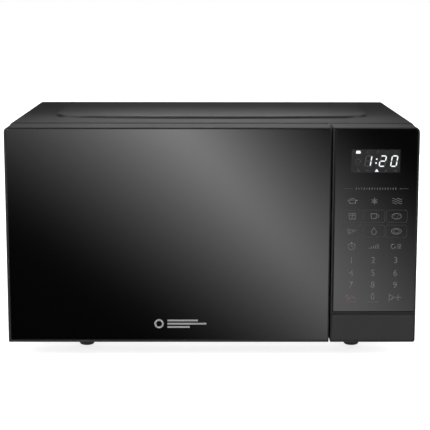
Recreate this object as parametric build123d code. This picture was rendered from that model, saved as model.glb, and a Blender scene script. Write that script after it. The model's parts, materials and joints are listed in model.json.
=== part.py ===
"""A countertop microwave oven with a side-hinged glass door and a push-button release.

Millimetres, +Z up. The origin is at floor level under the centre of the oven, -Y is the front and
the door hinges on the -X side. Every function makes one sub-part, and each is written to its own file.
"""

from build123d import *
from math import cos, pi, radians, sin
import os

# Driving dimensions of the case.
WIDTH = 440.0
DEPTH = 324.0
FOOT_HEIGHT = 16.0
FRONT_HEIGHT = 233.3
CASE_DEPTH = 312.5
DOOR_ZONE = 45.0
CORNER = 5.0
CASE_CORNER = 4.0
LIP_ROUND = 1.2
SHEET = 0.8

# Places that follow from them.
SIDE = WIDTH / 2
FRONT = -DEPTH / 2
BACK = DEPTH / 2
PLATE = FRONT + DOOR_ZONE
PLATE_BACK = PLATE + SHEET
CASE_REAR = FRONT + CASE_DEPTH
BOTTOM = FOOT_HEIGHT
TOP = FOOT_HEIGHT + FRONT_HEIGHT
CASE_SIDE = SIDE
CASE_TOP = TOP + 0.6
CASE_BOTTOM = BOTTOM + 0.6
CASE_FRONT = PLATE + 0.4

# Raised pad pressed into the top of the case.
PAD_RISE = 3.0
PAD_HALF_WIDTH = 178.0
PAD_FRONT = FRONT + 89.0
PAD_SHOULDER = FRONT + 99.0
PAD_REAR = FRONT + 272.0
PAD_FRONT_CORNER = 34.0
PAD_REAR_CORNER = 24.0
PAD_TAPER = 14.0

# Cooking cavity.
CAVITY_X = (-206.0, 104.0)
CAVITY_Z = (40.0, 238.5)
CAVITY_REAR = 141.0
CAVITY_CORNER = 6.0
TRACK_RADIUS = 105.0
TRACK_DEPTH = 2.0

# Door, seen from the front.
DOOR_X = (-SIDE, 126.6)
DOOR_REAR = PLATE - 1.6
DOOR_LIP = FRONT + 0.8
GLASS_THICK = 3.2
PANEL_X = (-202.0, 118.0)
PANEL_Z = (21.0, 244.3)
PLATEAU_X = (-184.0, 92.0)
PLATEAU_Z = (54.0, 224.0)
CHANNEL_FRONT = FRONT + 17.2
PLATEAU_REAR = DOOR_REAR - 5.4
WINDOW_X = (-166.0, 74.0)
WINDOW_Z = (70.0, 208.0)

# Door hinge: axis, pin and the arms that carry the pins.
HINGE_X = -212.0
HINGE_Y = FRONT + 34.0
PIN_RADIUS = 3.0
PIN_BORE = 3.08
PIN_LENGTH = 9.0
ARM_THICK = 2.0
ARM_HALF_WIDTH = 5.0
SWING_RADIUS = 10.2
UPPER_ARM_Z = 238.0
LOWER_ARM_Z = 25.3

# Latch hooks, the release lever and the release button.
HOOK_X = (110.5, 113.5)
HOOK_BARB_X = 117.0
HOOK_HEIGHT = 8.0
HOOK_LOW_Z = 78.0
HOOK_SPACING = 120.0
HOOK_TIP = FRONT + 73.0
BARB_DROP = 3.5
LATCH_TRAVEL = 2.6
LEVER_Y = FRONT + 56.0
LEVER_Z = 66.0
LEVER_SHAFT = 2.5
PUSH_Z = 38.0
BUTTON_X = (129.3, 218.1)
BUTTON_Z = (17.9, 47.1)
BUTTON_FACE = FRONT + 0.6
BUTTON_TRAVEL = 5.0
BUTTON_SPRING_X = 175.0
BUTTON_SPRING_Z = 32.5
BUTTON_WALL_Y = FRONT + 22.6
ROD_X = (131.0, 134.4)

# Control panel.
HOUSING_X = (128.0, SIDE)
OVERLAY_X = (130.6, 218.0)
OVERLAY_Z = (50.4, TOP - 1.2)
DISPLAY_X = (147.6, 200.8)
DISPLAY_Z = (201.6, 226.3)
HOUSING_FRONT_WALL = (FRONT + 3.2, FRONT + 5.7)

# Turntable.
TURN_X = -51.0
TURN_Y = 12.5
TRAY_RADIUS = 122.5
TRAY_UNDER = 51.8
TRAY_THICK = 4.0
TRAY_RIM = 64.0
ROLLER_ORBIT = 87.5
ROLLER_RADIUS = 6.6
ROLLER_Z = CAVITY_Z[0] - TRACK_DEPTH + 0.3 + ROLLER_RADIUS
ROLLER_PIN = 1.6
ROLLER_BORE = 1.68
ROLLER_COUNT = 3

# Cooling fan, on an axis along Y.
FAN_X = 166.0
FAN_Z = 152.0
FAN_RADIUS = 42.0
FAN_BLADES = 7
FAN_SHAFT = 2.0

# Feet and the cord inlet.
FOOT_X = (-140.0, 156.5)
FOOT_Y = (FRONT + 54.0, 112.0)
FOOT_RADIUS = 8.6
INLET_X = 190.0
INLET_Z = 62.0
INLET_RADIUS = 3.8


# ---- helpers ----------------------------------------------------------------------------------


def middle(pair):
    return (pair[0] + pair[1]) / 2


def length(pair):
    return pair[1] - pair[0]


def grow(pair, by):
    return (pair[0] - by, pair[1] + by)


def block(x, y, z):
    """A box between three pairs of limits."""
    return Pos(middle(x), middle(y), middle(z)) * Box(length(x), length(y), length(z))


def rounded(u, v, radii):
    """A flat rectangle between limits, its four corner radii counter-clockwise from the lowest."""
    face = Pos(middle(u), middle(v)) * Rectangle(length(u), length(v))
    corners = [(u[0], v[0], 0), (u[1], v[0], 0), (u[1], v[1], 0), (u[0], v[1], 0)]
    for corner, radius in zip(corners, radii):
        if radius:
            face = fillet(face.vertices().sort_by_distance(corner)[0], radius)
    return face


def slab_y(x, y, z, radii=(0, 0, 0, 0)):
    """A plate that is thin along Y, with corners rounded as seen from the front."""
    face = rounded(x, z, radii)
    return extrude(Plane((0, y[1], 0), x_dir=(1, 0, 0), z_dir=(0, -1, 0)) * face, length(y))


def slab_x(x, y, z, radii=(0, 0, 0, 0)):
    """A plate that is thin along X, with corners rounded as seen from the side."""
    face = rounded(y, z, radii)
    return extrude(Plane((x[0], 0, 0), x_dir=(0, 1, 0), z_dir=(1, 0, 0)) * face, length(x))


def slab_z(x, y, z, radii=(0, 0, 0, 0)):
    """A plate that is thin along Z, with corners rounded as seen from above."""
    return extrude(Plane((0, 0, z[0])) * rounded(x, y, radii), length(z))


def rod_x(y, z, radius, x):
    return Pos(middle(x), y, z) * Rot(0, 90, 0) * Cylinder(radius, length(x))


def rod_y(x, z, radius, y):
    return Pos(x, middle(y), z) * Rot(90, 0, 0) * Cylinder(radius, length(y))


def rod_z(x, y, radius, z):
    return Pos(x, y, middle(z)) * Cylinder(radius, length(z))


def prism_x(points, x):
    """A polygon given as (y, z) points, extruded along X."""
    face = make_face(Polyline(*points, close=True))
    return extrude(Plane((x[0], 0, 0), x_dir=(0, 1, 0), z_dir=(1, 0, 0)) * face, length(x))


def around_z(shape, count):
    """Copies of a shape about the turntable's axis."""
    centre = Pos(TURN_X, TURN_Y, 0)
    return [centre * Rot(0, 0, 360 * i / count) * centre.inverse() * shape for i in range(count)]


def row_of_slots(cut, start, step, count):
    """Copies of one cutting shape, each moved by a step from the last."""
    return [Pos(*(s + i * d for s, d in zip(start, step))) * cut for i in range(count)]


def coil(radius, wire, span, turns):
    """A compression spring's helix about Z, between two heights."""
    path = Helix(pitch=(length(span) - 2 * wire) / turns, height=length(span) - 2 * wire, radius=radius)
    section = Plane(origin=path @ 0, z_dir=path % 0) * Circle(wire)
    return Pos(0, 0, span[0] + wire) * sweep(section, path, is_frenet=True)


# ---- case ---------------------------------------------------------------------------------------


def pad_outline(inset):
    """The raised pad's outline seen from above: its front edge bows forward in the middle."""
    side = PAD_HALF_WIDTH - inset
    front, shoulder, rear = PAD_FRONT + inset, PAD_SHOULDER + inset, PAD_REAR - inset
    bow = ThreePointArc((-side, shoulder), (0, front), (side, shoulder))
    rest = Polyline((side, shoulder), (side, rear), (-side, rear), (-side, shoulder))
    face = make_face([bow, *rest.edges()])
    for x in (-side, side):
        face = fillet(face.vertices().sort_by_distance((x, rear, 0))[0], PAD_REAR_CORNER - inset)
        face = fillet(face.vertices().sort_by_distance((x, shoulder, 0))[0], PAD_FRONT_CORNER - inset)
    return face


def outer_wrapper():
    """The folded sheet cover: top, both sides, a rear flange, a raised pad and side louvres."""
    side, top = CASE_SIDE, CASE_TOP
    around = (0, 0, CASE_CORNER, CASE_CORNER)
    inner = (0, 0, CASE_CORNER - SHEET, CASE_CORNER - SHEET)
    outside = slab_y((-side, side), (CASE_FRONT, CASE_REAR), (CASE_BOTTOM, top), around)
    inside = slab_y(
        (-side + SHEET, side - SHEET),
        (CASE_FRONT - 1, CASE_REAR - SHEET),
        (CASE_BOTTOM - 1, top - SHEET),
        inner,
    )
    rear_hole = slab_y(
        (-side + 10, side - 10), (CASE_REAR - 2, CASE_REAR + 1), (CASE_BOTTOM - 1, top - 10), (0, 0, 3, 3)
    )
    cover = outside - inside - rear_hole
    raised = extrude(Plane((0, 0, top)) * pad_outline(0), PAD_RISE, taper=PAD_TAPER)
    raised = fillet(raised.faces().sort_by(Axis.Z)[-1].edges(), 1.0)
    hollow = extrude(Plane((0, 0, top - SHEET)) * pad_outline(0.6), PAD_RISE, taper=PAD_TAPER)
    cover = cover + raised - hollow
    louvre = slab_x((-2, 2), (-14, 14), (-1.5, 1.5), (1.4, 1.4, 1.4, 1.4))
    cuts = []
    for y in (56.0, 96.0):
        cuts += row_of_slots(louvre, (side, y, 120.0), (0, 0, 8), 11)
    for y in (-80.0, -40.0):
        cuts += row_of_slots(louvre, (-side, y, 172.0), (0, 0, 8), 6)
    for x, z in REAR_SCREWS:
        cuts.append(rod_y(x, z, 1.7, (CASE_REAR - 2, CASE_REAR + 1)))
    return cover - cuts


REAR_SCREWS = [
    (-190.0, CASE_TOP - 5),
    (0.0, CASE_TOP - 5),
    (190.0, CASE_TOP - 5),
    (-CASE_SIDE + 5, 40.0),
    (-CASE_SIDE + 5, 150.0),
    (CASE_SIDE - 5, 40.0),
    (CASE_SIDE - 5, 150.0),
]
REAR_SHEET = (CASE_REAR - 2 * SHEET - 0.2, CASE_REAR - SHEET - 0.2)


def rear_panel():
    """The rear sheet: a pressed-out middle, a fan grille, exhaust slots, screw holes and the cord hole."""
    y0, y1 = REAR_SHEET
    edge = CASE_SIDE - SHEET - 0.2
    z = (CASE_BOTTOM + 1.0, CASE_TOP - SHEET - 0.2)
    flat = slab_y((-edge, edge), (y0, y1), z, (0, 0, CASE_CORNER - SHEET, CASE_CORNER - SHEET))
    press_x, press_z, press = (-170.0, 96.0), (52.0, 206.0), 5.0
    bulge = slab_y(press_x, (y0, y1 + press), press_z, (14, 14, 14, 14))
    hollow = slab_y(grow(press_x, -SHEET), (y0 - 1, y1 + press - SHEET), grow(press_z, -SHEET), (13,) * 4)
    bulge = fillet(bulge.faces().sort_by(Axis.Y)[-1].edges(), 2.6)
    hollow = fillet(hollow.faces().sort_by(Axis.Y)[-1].edges(), 1.8)
    panel = flat + bulge - hollow
    cuts = []
    hole = rod_y(0, 0, 2.4, (y0 - 1, y1 + 1))
    pitch = 7.6
    rows = 5
    for row in range(-rows, rows + 1):
        for column in range(-rows, rows + 1):
            x = (column + 0.5 * (row % 2)) * pitch
            z_hole = row * pitch * 0.866
            if x * x + z_hole * z_hole < (rows * pitch) ** 2:
                cuts.append(Pos(FAN_X + x, 0, FAN_Z + z_hole) * hole)
    slot = slab_y((-1.6, 1.6), (y0 - 1, y1 + press + 1), (-13, 13), (1.5, 1.5, 1.5, 1.5))
    for z_row in (90.0, 168.0):
        cuts += row_of_slots(slot, (-150.0, 0, z_row), (8.5, 0, 0), 9)
    cuts.append(rod_y(INLET_X, INLET_Z, 7.0, (y0 - 1, y1 + 1)))
    for x, z_screw in REAR_SCREWS:
        cuts.append(rod_y(x, z_screw, 1.7, (y0 - 1, y1 + 1)))
    return panel - cuts


def case_screws():
    """Pan-head screws that hold the cover to the rear sheet."""
    screws = []
    for x, z in REAR_SCREWS:
        head = rod_y(x, z, 3.6, (CASE_REAR, CASE_REAR + 2.2))
        head = fillet(head.edges().sort_by(Axis.Y)[-1], 1.0)
        drive = [
            block((x - 2.2, x + 2.2), (CASE_REAR + 1.2, CASE_REAR + 3), (z - 0.4, z + 0.4)),
            block((x - 0.4, x + 0.4), (CASE_REAR + 1.2, CASE_REAR + 3), (z - 2.2, z + 2.2)),
        ]
        screws.append(head + rod_y(x, z, 1.5, (CASE_REAR - 7, CASE_REAR)) - drive)
    return screws


def rear_spacers():
    """Two plastic bumpers that keep the back of the oven off a wall."""
    spacers = []
    for x in (-195.0, 120.0):
        y0 = REAR_SHEET[1]
        body = rod_y(x, 216.0, 9.0, (y0 + 2, BACK))
        body = fillet(body.edges().sort_by(Axis.Y)[-1], 3.0)
        spacers.append(body + rod_y(x, 216.0, 12.0, (y0, y0 + 2)))
    return spacers


def base_plate():
    """The bottom sheet, with turned-up sides, cooling slots, foot holes and the motor's access hole."""
    edge = CASE_SIDE - SHEET - 0.3
    x, y = (-edge, edge), (PLATE_BACK + 0.2, REAR_SHEET[0] - 0.2)
    z0 = CASE_BOTTOM
    tray = block(x, y, (z0, z0 + 11)) - block(grow(x, -SHEET), grow(y, 2), (z0 + SHEET, z0 + 12))
    slot = slab_z((-1.6, 1.6), (-15, 15), (z0 - 1, z0 + 2), (1.5, 1.5, 1.5, 1.5))
    cuts = row_of_slots(slot, (124.0, -60.0, 0), (9, 0, 0), 9)
    cuts += row_of_slots(slot, (-176.0, 70.0, 0), (9, 0, 0), 8)
    cuts.append(rod_z(TURN_X, TURN_Y, 30.0, (z0 - 1, z0 + 2)))
    for fx in FOOT_X:
        for fy in FOOT_Y:
            cuts.append(rod_z(fx, fy, 3.6, (z0 - 1, z0 + 2)))
    return tray - cuts


def feet():
    """Four fluted feet, each with a stem pressed through the base."""
    body = rod_z(0, 0, FOOT_RADIUS, (0, CASE_BOTTOM))
    body = fillet(body.edges().sort_by(Axis.Z)[0], 3.0)
    flute = rod_z(FOOT_RADIUS + 0.5, 0, 1.0, (-1, CASE_BOTTOM - 2))
    body -= [Rot(0, 0, 360 * i / 16) * flute for i in range(16)]
    body += rod_z(0, 0, 3.5, (CASE_BOTTOM, CASE_BOTTOM + 2.5))
    body += Pos(0, 0, CASE_BOTTOM + SHEET + 1.7) * Cylinder(4.4, 1.6)
    return [Pos(x, y, 0) * body for x in FOOT_X for y in FOOT_Y]


def motor_access_cover():
    """The round plate under the base that covers the turntable motor."""
    z1 = CASE_BOTTOM
    plate = rod_z(TURN_X, TURN_Y, 34.0, (z1 - SHEET, z1))
    dish = rod_z(TURN_X, TURN_Y, 26.0, (z1 - 2.4, z1 - SHEET)) - rod_z(TURN_X, TURN_Y, 25.0, (z1 - 1.6, z1))
    return plate - rod_z(TURN_X, TURN_Y, 25.0, (z1 - 1.6, z1 + 1)) + dish


def cord_gland():
    """The bush in the rear sheet that a mains lead passes through."""
    y0, y1 = REAR_SHEET
    barrel = rod_y(INLET_X, INLET_Z, 6.8, (y0 - 9, y1))
    flange = fillet(rod_y(INLET_X, INLET_Z, 10.0, (y1, y1 + 3)).edges().sort_by(Axis.Y)[-1], 1.2)
    inner = rod_y(INLET_X, INLET_Z, 9.0, (y0 - 3, y0 - 0.2))
    return barrel + flange + inner - rod_y(INLET_X, INLET_Z, INLET_RADIUS, (y0 - 10, y1 + 4))


# ---- cavity --------------------------------------------------------------------------------------


def front_plate():
    """The steel face behind the door and the control panel."""
    edge = CASE_SIDE - SHEET - 0.2
    y = (PLATE, PLATE_BACK)
    cutter = (PLATE - 1, PLATE_BACK + 1)
    z = (CASE_BOTTOM, CASE_TOP - SHEET - 0.2)
    sheet = slab_y((-edge, edge), y, z, (0, 0, CASE_CORNER - SHEET, CASE_CORNER - SHEET))
    cuts = [slab_y(CAVITY_X, cutter, CAVITY_Z, (CAVITY_CORNER,) * 4)]
    for i in range(2):
        z = HOOK_LOW_Z + i * HOOK_SPACING
        cuts.append(block((107.3, 120.0), cutter, (z - BARB_DROP - 1, z + HOOK_HEIGHT + LATCH_TRAVEL + 1.4)))
    cuts.append(block((126.8, 138.0), cutter, grow((PUSH_Z, PUSH_Z), 8.5)))
    cuts.append(slab_y((145.0, 200.0), cutter, (70.0, 110.0), (5, 5, 5, 5)))
    for z in (LOWER_ARM_Z, UPPER_ARM_Z):
        cuts.append(block((HINGE_X - 5.6, HINGE_X + 5.6), cutter, (z - 0.6, z + ARM_THICK + 0.6)))
    return sheet - cuts


def cavity_void(grown):
    """The cavity's inside, with its pressed walls and turntable track, grown by a wall's thickness."""
    x, z = grow(CAVITY_X, grown), grow(CAVITY_Z, grown)
    front = PLATE_BACK - (1 if grown == 0 else 0)
    corner = CAVITY_CORNER + grown
    room = slab_y(x, (front, CAVITY_REAR + grown), z, (corner,) * 4)
    room = fillet(room.faces().sort_by(Axis.Y)[-1].edges(), corner - 1)
    track = rod_z(TURN_X, TURN_Y, TRACK_RADIUS + grown, (CAVITY_Z[0] - TRACK_DEPTH - grown, CAVITY_Z[0] + 5))
    press_z = grow((84.0, 206.0), grown)
    back_y, left_x = (CAVITY_REAR - 3, CAVITY_REAR + 3 + grown), (CAVITY_X[0] - 3 - grown, CAVITY_X[0] + 3)
    back = slab_y(grow((-150.0, 48.0), grown), back_y, press_z, (12,) * 4)
    left = slab_x(left_x, grow((-60.0, 96.0), grown), press_z, (12,) * 4)
    return room + track + back + left


def cavity_box():
    """The cooking cavity: one pressed and welded steel box, open at the front."""
    box = cavity_void(SHEET) - cavity_void(0)
    right = (CAVITY_X[1] - 1, CAVITY_X[1] + SHEET + 1)
    far_left = (CAVITY_X[0] - 6, CAVITY_X[0] + 1)
    cuts = [block(right, (2.0, 44.0), (146.0, 202.0))]
    lamp_hole = rod_x(0, 0, 1.7, right)
    for i in range(5):
        cuts += row_of_slots(lamp_hole, (0, 87.0 + i * 5.5, 192.0), (0, 0, 5.5), 5)
    air_slot = slab_x(right, (-9.0, 9.0), (-1.3, 1.3), (1.2,) * 4)
    cuts += row_of_slots(air_slot, (0, -44.0, 142.0), (0, 0, 6), 8)
    out_slot = slab_x(far_left, (-9.0, 9.0), (-1.3, 1.3), (1.2,) * 4)
    cuts += row_of_slots(out_slot, (0, -88.0, 150.0), (0, 0, 6), 10)
    cuts.append(rod_z(TURN_X, TURN_Y, 7.0, (CAVITY_Z[0] - 10, CAVITY_Z[0] + 1)))
    return box - cuts


def waveguide_cover():
    """The mica sheet over the waveguide's mouth, inside the cavity."""
    x1 = CAVITY_X[1]
    return slab_x((x1 - 0.7, x1 - 0.1), (-8.0, 54.0), (138.0, 210.0), (4,) * 4)


GUIDE_X = (CAVITY_X[1] + SHEET, 135.0)
MAGNETRON_Y = (-24.0, 62.0)
MAGNETRON_Z = (134.0, 208.0)
ANODE_Y = 20.0
ANODE_Z = 172.0


def waveguide():
    """The steel channel that carries the microwaves from the magnetron to the cavity."""
    y, z = (-14.0, 58.0), (124.0, 214.0)
    shell = block(GUIDE_X, y, z)
    shell -= block((GUIDE_X[0] - 1, GUIDE_X[1] - SHEET), grow(y, -SHEET), grow(z, -SHEET))
    return shell - rod_x(ANODE_Y, ANODE_Z, 16.0, (GUIDE_X[1] - 2, GUIDE_X[1] + 1))


def magnetron_yoke():
    """The magnetron's steel frame, open front and back for cooling air."""
    x = (GUIDE_X[1] + 1.6, 194.0)
    flange = slab_x((GUIDE_X[1], GUIDE_X[1] + 1.6), grow(MAGNETRON_Y, 4), MAGNETRON_Z, (5,) * 4)
    frame = block(x, MAGNETRON_Y, MAGNETRON_Z)
    frame -= block(grow(x, -1.6), grow(MAGNETRON_Y, 1), grow(MAGNETRON_Z, -1.6))
    yoke = flange + frame
    yoke -= rod_x(ANODE_Y, ANODE_Z, 15.0, (GUIDE_X[1] - 1, GUIDE_X[1] + 5))
    return yoke - rod_x(ANODE_Y, ANODE_Z, 12.0, (190.0, 196.0))


def magnetron_anode():
    """The vacuum tube with its two ring magnets and the antenna that reaches into the waveguide."""
    x0 = GUIDE_X[1] + 3.4
    body = rod_x(ANODE_Y, ANODE_Z, 20.0, (x0 + 8, 184.0))
    body += rod_x(ANODE_Y, ANODE_Z, 27.0, (x0, x0 + 8))
    body += rod_x(ANODE_Y, ANODE_Z, 27.0, (184.0, 192.0))
    body += rod_x(ANODE_Y, ANODE_Z, 10.5, (192.0, 196.5))
    antenna = rod_x(ANODE_Y, ANODE_Z, 7.5, (114.0, x0))
    antenna = fillet(antenna.edges().sort_by(Axis.X)[0], 3.0)
    collar = rod_x(ANODE_Y, ANODE_Z, 13.0, (GUIDE_X[1] - 3, x0))
    return body + antenna + collar


def magnetron_fins():
    """The stack of thin aluminium fins pressed on the tube."""
    fins = []
    for i in range(5):
        x = 152.0 + i * 6.5
        plate = block((x, x + 0.8), grow(MAGNETRON_Y, -4), grow(MAGNETRON_Z, -1.8))
        fins.append(plate - rod_x(ANODE_Y, ANODE_Z, 20.0, (x - 1, x + 2)))
    return fins


def magnetron_filter_box():
    """The screened box on the tube's end, with its two-pin connector."""
    box = block((197.0, 213.0), (-4.0, 44.0), (148.0, 196.0))
    box -= block((194.0, 212.2), (-3.2, 43.2), (148.8, 195.2))
    lid = block((194.2, 197.0), (-6.0, 46.0), (146.0, 198.0)) - rod_x(ANODE_Y, ANODE_Z, 12.0, (193.0, 198.0))
    plug = block((199.0, 211.0), (44.0, 54.0), (160.0, 184.0))
    return box + lid + plug


# ---- electrical bay -----------------------------------------------------------------------------

CORE_X = (126.0, 204.0)
CORE_Y = (-86.0, -32.0)
CORE_Z = (22.0, 88.0)
LEG_X = (152.0, 178.0)


def transformer_core():
    """The laminated iron core of the high-voltage transformer, on its two mounting feet."""
    windows = [(139.0, LEG_X[0]), (LEG_X[1], 191.0)]
    core = block(CORE_X, CORE_Y, CORE_Z)
    core -= [block(w, grow(CORE_Y, 1), (35.0, 75.0)) for w in windows]
    groove = block(grow(CORE_X, 1), (-0.25, 0.25), (CORE_Z[1] - 0.8, CORE_Z[1] + 1))
    core -= row_of_slots(groove, (0, CORE_Y[0] + 6, 0), (0, 6, 0), 8)
    foot_z = (CASE_BOTTOM + SHEET, CORE_Z[0])
    for x in (grow((CORE_X[0], CORE_X[0] + 8), 4), grow((CORE_X[1] - 8, CORE_X[1]), 4)):
        core += block(x, CORE_Y, foot_z)
    return core


def transformer_windings():
    """The primary and secondary windings around the core's middle leg."""
    coils = []
    for z in ((35.4, 53.0), (56.0, 74.6)):
        outer = slab_z((139.4, 190.6), (CORE_Y[0] - 13, CORE_Y[1] + 13), z, (12,) * 4)
        coils.append(outer - block(grow(LEG_X, 0.4), grow(CORE_Y, 0.4), grow(z, 1)))
    return coils


CAP_AT = (152.0, 72.0)
CAP_SIZE = (52.0, 32.0)
CAP_Z = (CASE_BOTTOM + SHEET, 104.0)


def hv_capacitor():
    """The oval high-voltage capacitor with two tab terminals."""
    can = extrude(Plane((*CAP_AT, CAP_Z[0])) * SlotOverall(*CAP_SIZE), length(CAP_Z))
    can = fillet(can.edges().group_by(Axis.Z)[-1], 1.5)
    y, z = CAP_AT[1], CAP_Z[1]
    for x in (CAP_AT[0] - 10, CAP_AT[0] + 10):
        can += Pos(x, y, z + 2) * Cylinder(6, 4)
        can += block((x - 3, x + 3), (y - 0.4, y + 0.4), (z + 4, z + 13))
    return can


def capacitor_clamp():
    """The strap around the capacitor, screwed to the base by its foot."""
    z = (50.0, 62.0)
    band = extrude(Plane((*CAP_AT, z[0])) * SlotOverall(CAP_SIZE[0] + 2, CAP_SIZE[1] + 2), length(z))
    band -= extrude(Plane((*CAP_AT, z[0] - 1)) * SlotOverall(*CAP_SIZE), length(z) + 2)
    y = CAP_AT[1] - CAP_SIZE[1] / 2
    leg = block((140.0, 164.0), (y - 1.8, y - 0.8), (CASE_BOTTOM + SHEET, z[1]))
    foot = block((140.0, 164.0), (y - 16, y - 0.8), (CASE_BOTTOM + SHEET, CASE_BOTTOM + 2 * SHEET))
    return band + leg + foot


def hv_diode():
    """The high-voltage diode between the capacitor and the case."""
    body = rod_y(196.0, 80.0, 3.4, (60.0, 74.0))
    leads = rod_y(196.0, 80.0, 0.7, (50.0, 84.0))
    tag = block((192.0, 200.0), (84.0, 84.8), (75.0, 85.0))
    return body + leads + tag


def fan_shroud():
    """The moulded ring and plate that guide the fan's air forward."""
    plate = slab_y((118.0, 214.0), (116.4, 118.4), (104.0, 200.0), (6,) * 4)
    ring = rod_y(FAN_X, FAN_Z, FAN_RADIUS + 3.6, (94.0, 116.4))
    return plate + ring - rod_y(FAN_X, FAN_Z, FAN_RADIUS + 1.6, (90.0, 120.0))


def fan_blade():
    """The seven-bladed cooling fan with its hub."""
    hub = rod_y(FAN_X, FAN_Z, 11.0, (98.0, 113.0))
    hub = fillet(hub.edges().sort_by(Axis.Y)[0], 2.0)
    blade = Pos(FAN_X + 26.2, 105.5, FAN_Z) * Rot(32, 0, 0) * Box(31.0, 1.4, 17.0)
    limit = rod_y(FAN_X, FAN_Z, FAN_RADIUS, (90.0, 120.0))
    turn = Pos(FAN_X, 0, FAN_Z)
    blades = [turn * Rot(0, 360 * i / FAN_BLADES, 0) * turn.inverse() * blade for i in range(FAN_BLADES)]
    return (hub + blades) & limit


def fan_rotor():
    """The motor's rotor on the fan's shaft."""
    shaft = rod_y(FAN_X, FAN_Z, FAN_SHAFT, (113.0, 145.0))
    return shaft + rod_y(FAN_X, FAN_Z, 12.0, (124.5, 139.5))


def fan_motor_core():
    """The shaded-pole motor's laminated frame."""
    x = (FAN_X - 27, FAN_X + 27)
    frame = slab_y(x, (124.0, 140.0), (FAN_Z - 40, FAN_Z + 20), (2,) * 4)
    frame -= rod_y(FAN_X, FAN_Z, 12.4, (120.0, 145.0))
    return frame - block((FAN_X - 17, FAN_X + 17), (120.0, 145.0), (FAN_Z - 30, FAN_Z - 16))


def fan_motor_coil():
    """The winding on the motor frame's lower leg."""
    x = (FAN_X - 15, FAN_X + 15)
    leg = (FAN_Z - 40, FAN_Z - 30)
    outer = block(x, (118.8, 145.2), (leg[0] - 8, leg[1] + 8))
    outer = fillet(outer.edges().filter_by(Axis.X), 4.0)
    return outer - block(grow(x, 1), (123.8, 140.2), grow(leg, 0.2))


def fan_motor_brackets():
    """The strips that carry the fan shaft's two bearings."""
    strips = []
    for y in ((120.0, 122.0), (142.0, 144.0)):
        strip = slab_y((FAN_X - 26, FAN_X + 26), y, (FAN_Z - 7, FAN_Z + 7), (5,) * 4)
        for side in (-1, 1):
            post = FAN_X + side * 20.5
            strip += rod_y(post, FAN_Z, 2.5, (min(y[1], 140.0), max(y[0], 124.0)))
        strips.append(strip - rod_y(FAN_X, FAN_Z, FAN_SHAFT + 0.07, grow(y, 1)))
    return strips


def air_duct():
    """The moulded duct that turns the magnetron's cooling air into the cavity."""
    x, y, z = (CAVITY_X[1] + 1.2, 196.0), (-58.0, -30.0), (132.0, 210.0)
    duct = block(x, y, z)
    duct -= block((x[0] + 30, x[1] - 1.5), (y[0] + 1.5, y[1] + 1), grow(z, -1.5))
    return duct - block((x[0] - 1, x[0] + 31), (y[0] + 1.5, y[1] - 1.5), grow(z, -1.5))


def lamp_holder():
    """The lamp's socket and reflector box on the cavity's side."""
    x0 = CAVITY_X[1] + SHEET
    box = block((x0, x0 + 22), (84.0, 112.0), (189.0, 217.0))
    box -= block((x0 - 1, x0 + 20.8), (85.2, 110.8), (190.2, 215.8))
    socket = rod_x(98.0, 203.0, 8.0, (x0 + 22, x0 + 34))
    return box + socket - rod_x(98.0, 203.0, 5.0, (x0 + 18, x0 + 32))


def oven_lamp():
    """The small cavity lamp."""
    x0 = CAVITY_X[1] + SHEET
    bulb = rod_x(98.0, 203.0, 7.0, (x0 + 4, x0 + 16))
    bulb = fillet(bulb.edges().sort_by(Axis.X)[0], 6.0)
    return bulb + rod_x(98.0, 203.0, 4.8, (x0 + 16, x0 + 30))


def thermal_cutouts():
    """Two disc thermostats: one on the magnetron, one over the cavity."""
    on_magnetron = rod_z(160.0, 30.0, 8.0, (MAGNETRON_Z[1], MAGNETRON_Z[1] + 6))
    on_magnetron += block((148.0, 172.0), (26.0, 34.0), (MAGNETRON_Z[1], MAGNETRON_Z[1] + 0.8))
    z0 = CAVITY_Z[1] + SHEET
    on_cavity = rod_z(60.0, 60.0, 8.0, (z0, z0 + 6))
    on_cavity += block((48.0, 72.0), (56.0, 64.0), (z0, z0 + 0.8))
    return [on_magnetron, on_cavity]


FILTER_Z = 224.0


def filter_board():
    """The mains filter's circuit board on its two edge rails."""
    board = block((112.0, 214.0), (72.0, 144.0), (FILTER_Z, FILTER_Z + 1.6))
    rail = block((-2, 2), (76.0, 140.0), (FILTER_Z - 4, FILTER_Z))
    return board + Pos(116.0, 0, 0) * rail + Pos(210.0, 0, 0) * rail


def filter_components():
    """What stands on the mains filter board: a choke, a capacitor, a fuse and a terminal block."""
    z = FILTER_Z + 1.6
    choke = rod_z(136.0, 96.0, 12.0, (z, z + 12)) - rod_z(136.0, 96.0, 5.0, (z - 1, z + 13))
    capacitor = fillet(block((158.0, 184.0), (84.0, 94.0), (z, z + 16)).edges().group_by(Axis.Z)[-1], 1.0)
    fuse = rod_x(124.0, z + 4.5, 3.2, (134.0, 166.0))
    clips = [block((x, x + 4), (119.5, 128.5), (z, z + 6.5)) for x in (134.0, 162.0)]
    terminals = block((188.0, 206.0), (104.0, 134.0), (z, z + 14))
    return [choke, capacitor, fuse + clips, terminals]


# ---- turntable ---------------------------------------------------------------------------------

MOTOR_Z = (CASE_BOTTOM + SHEET + 0.4, 35.4)


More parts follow.
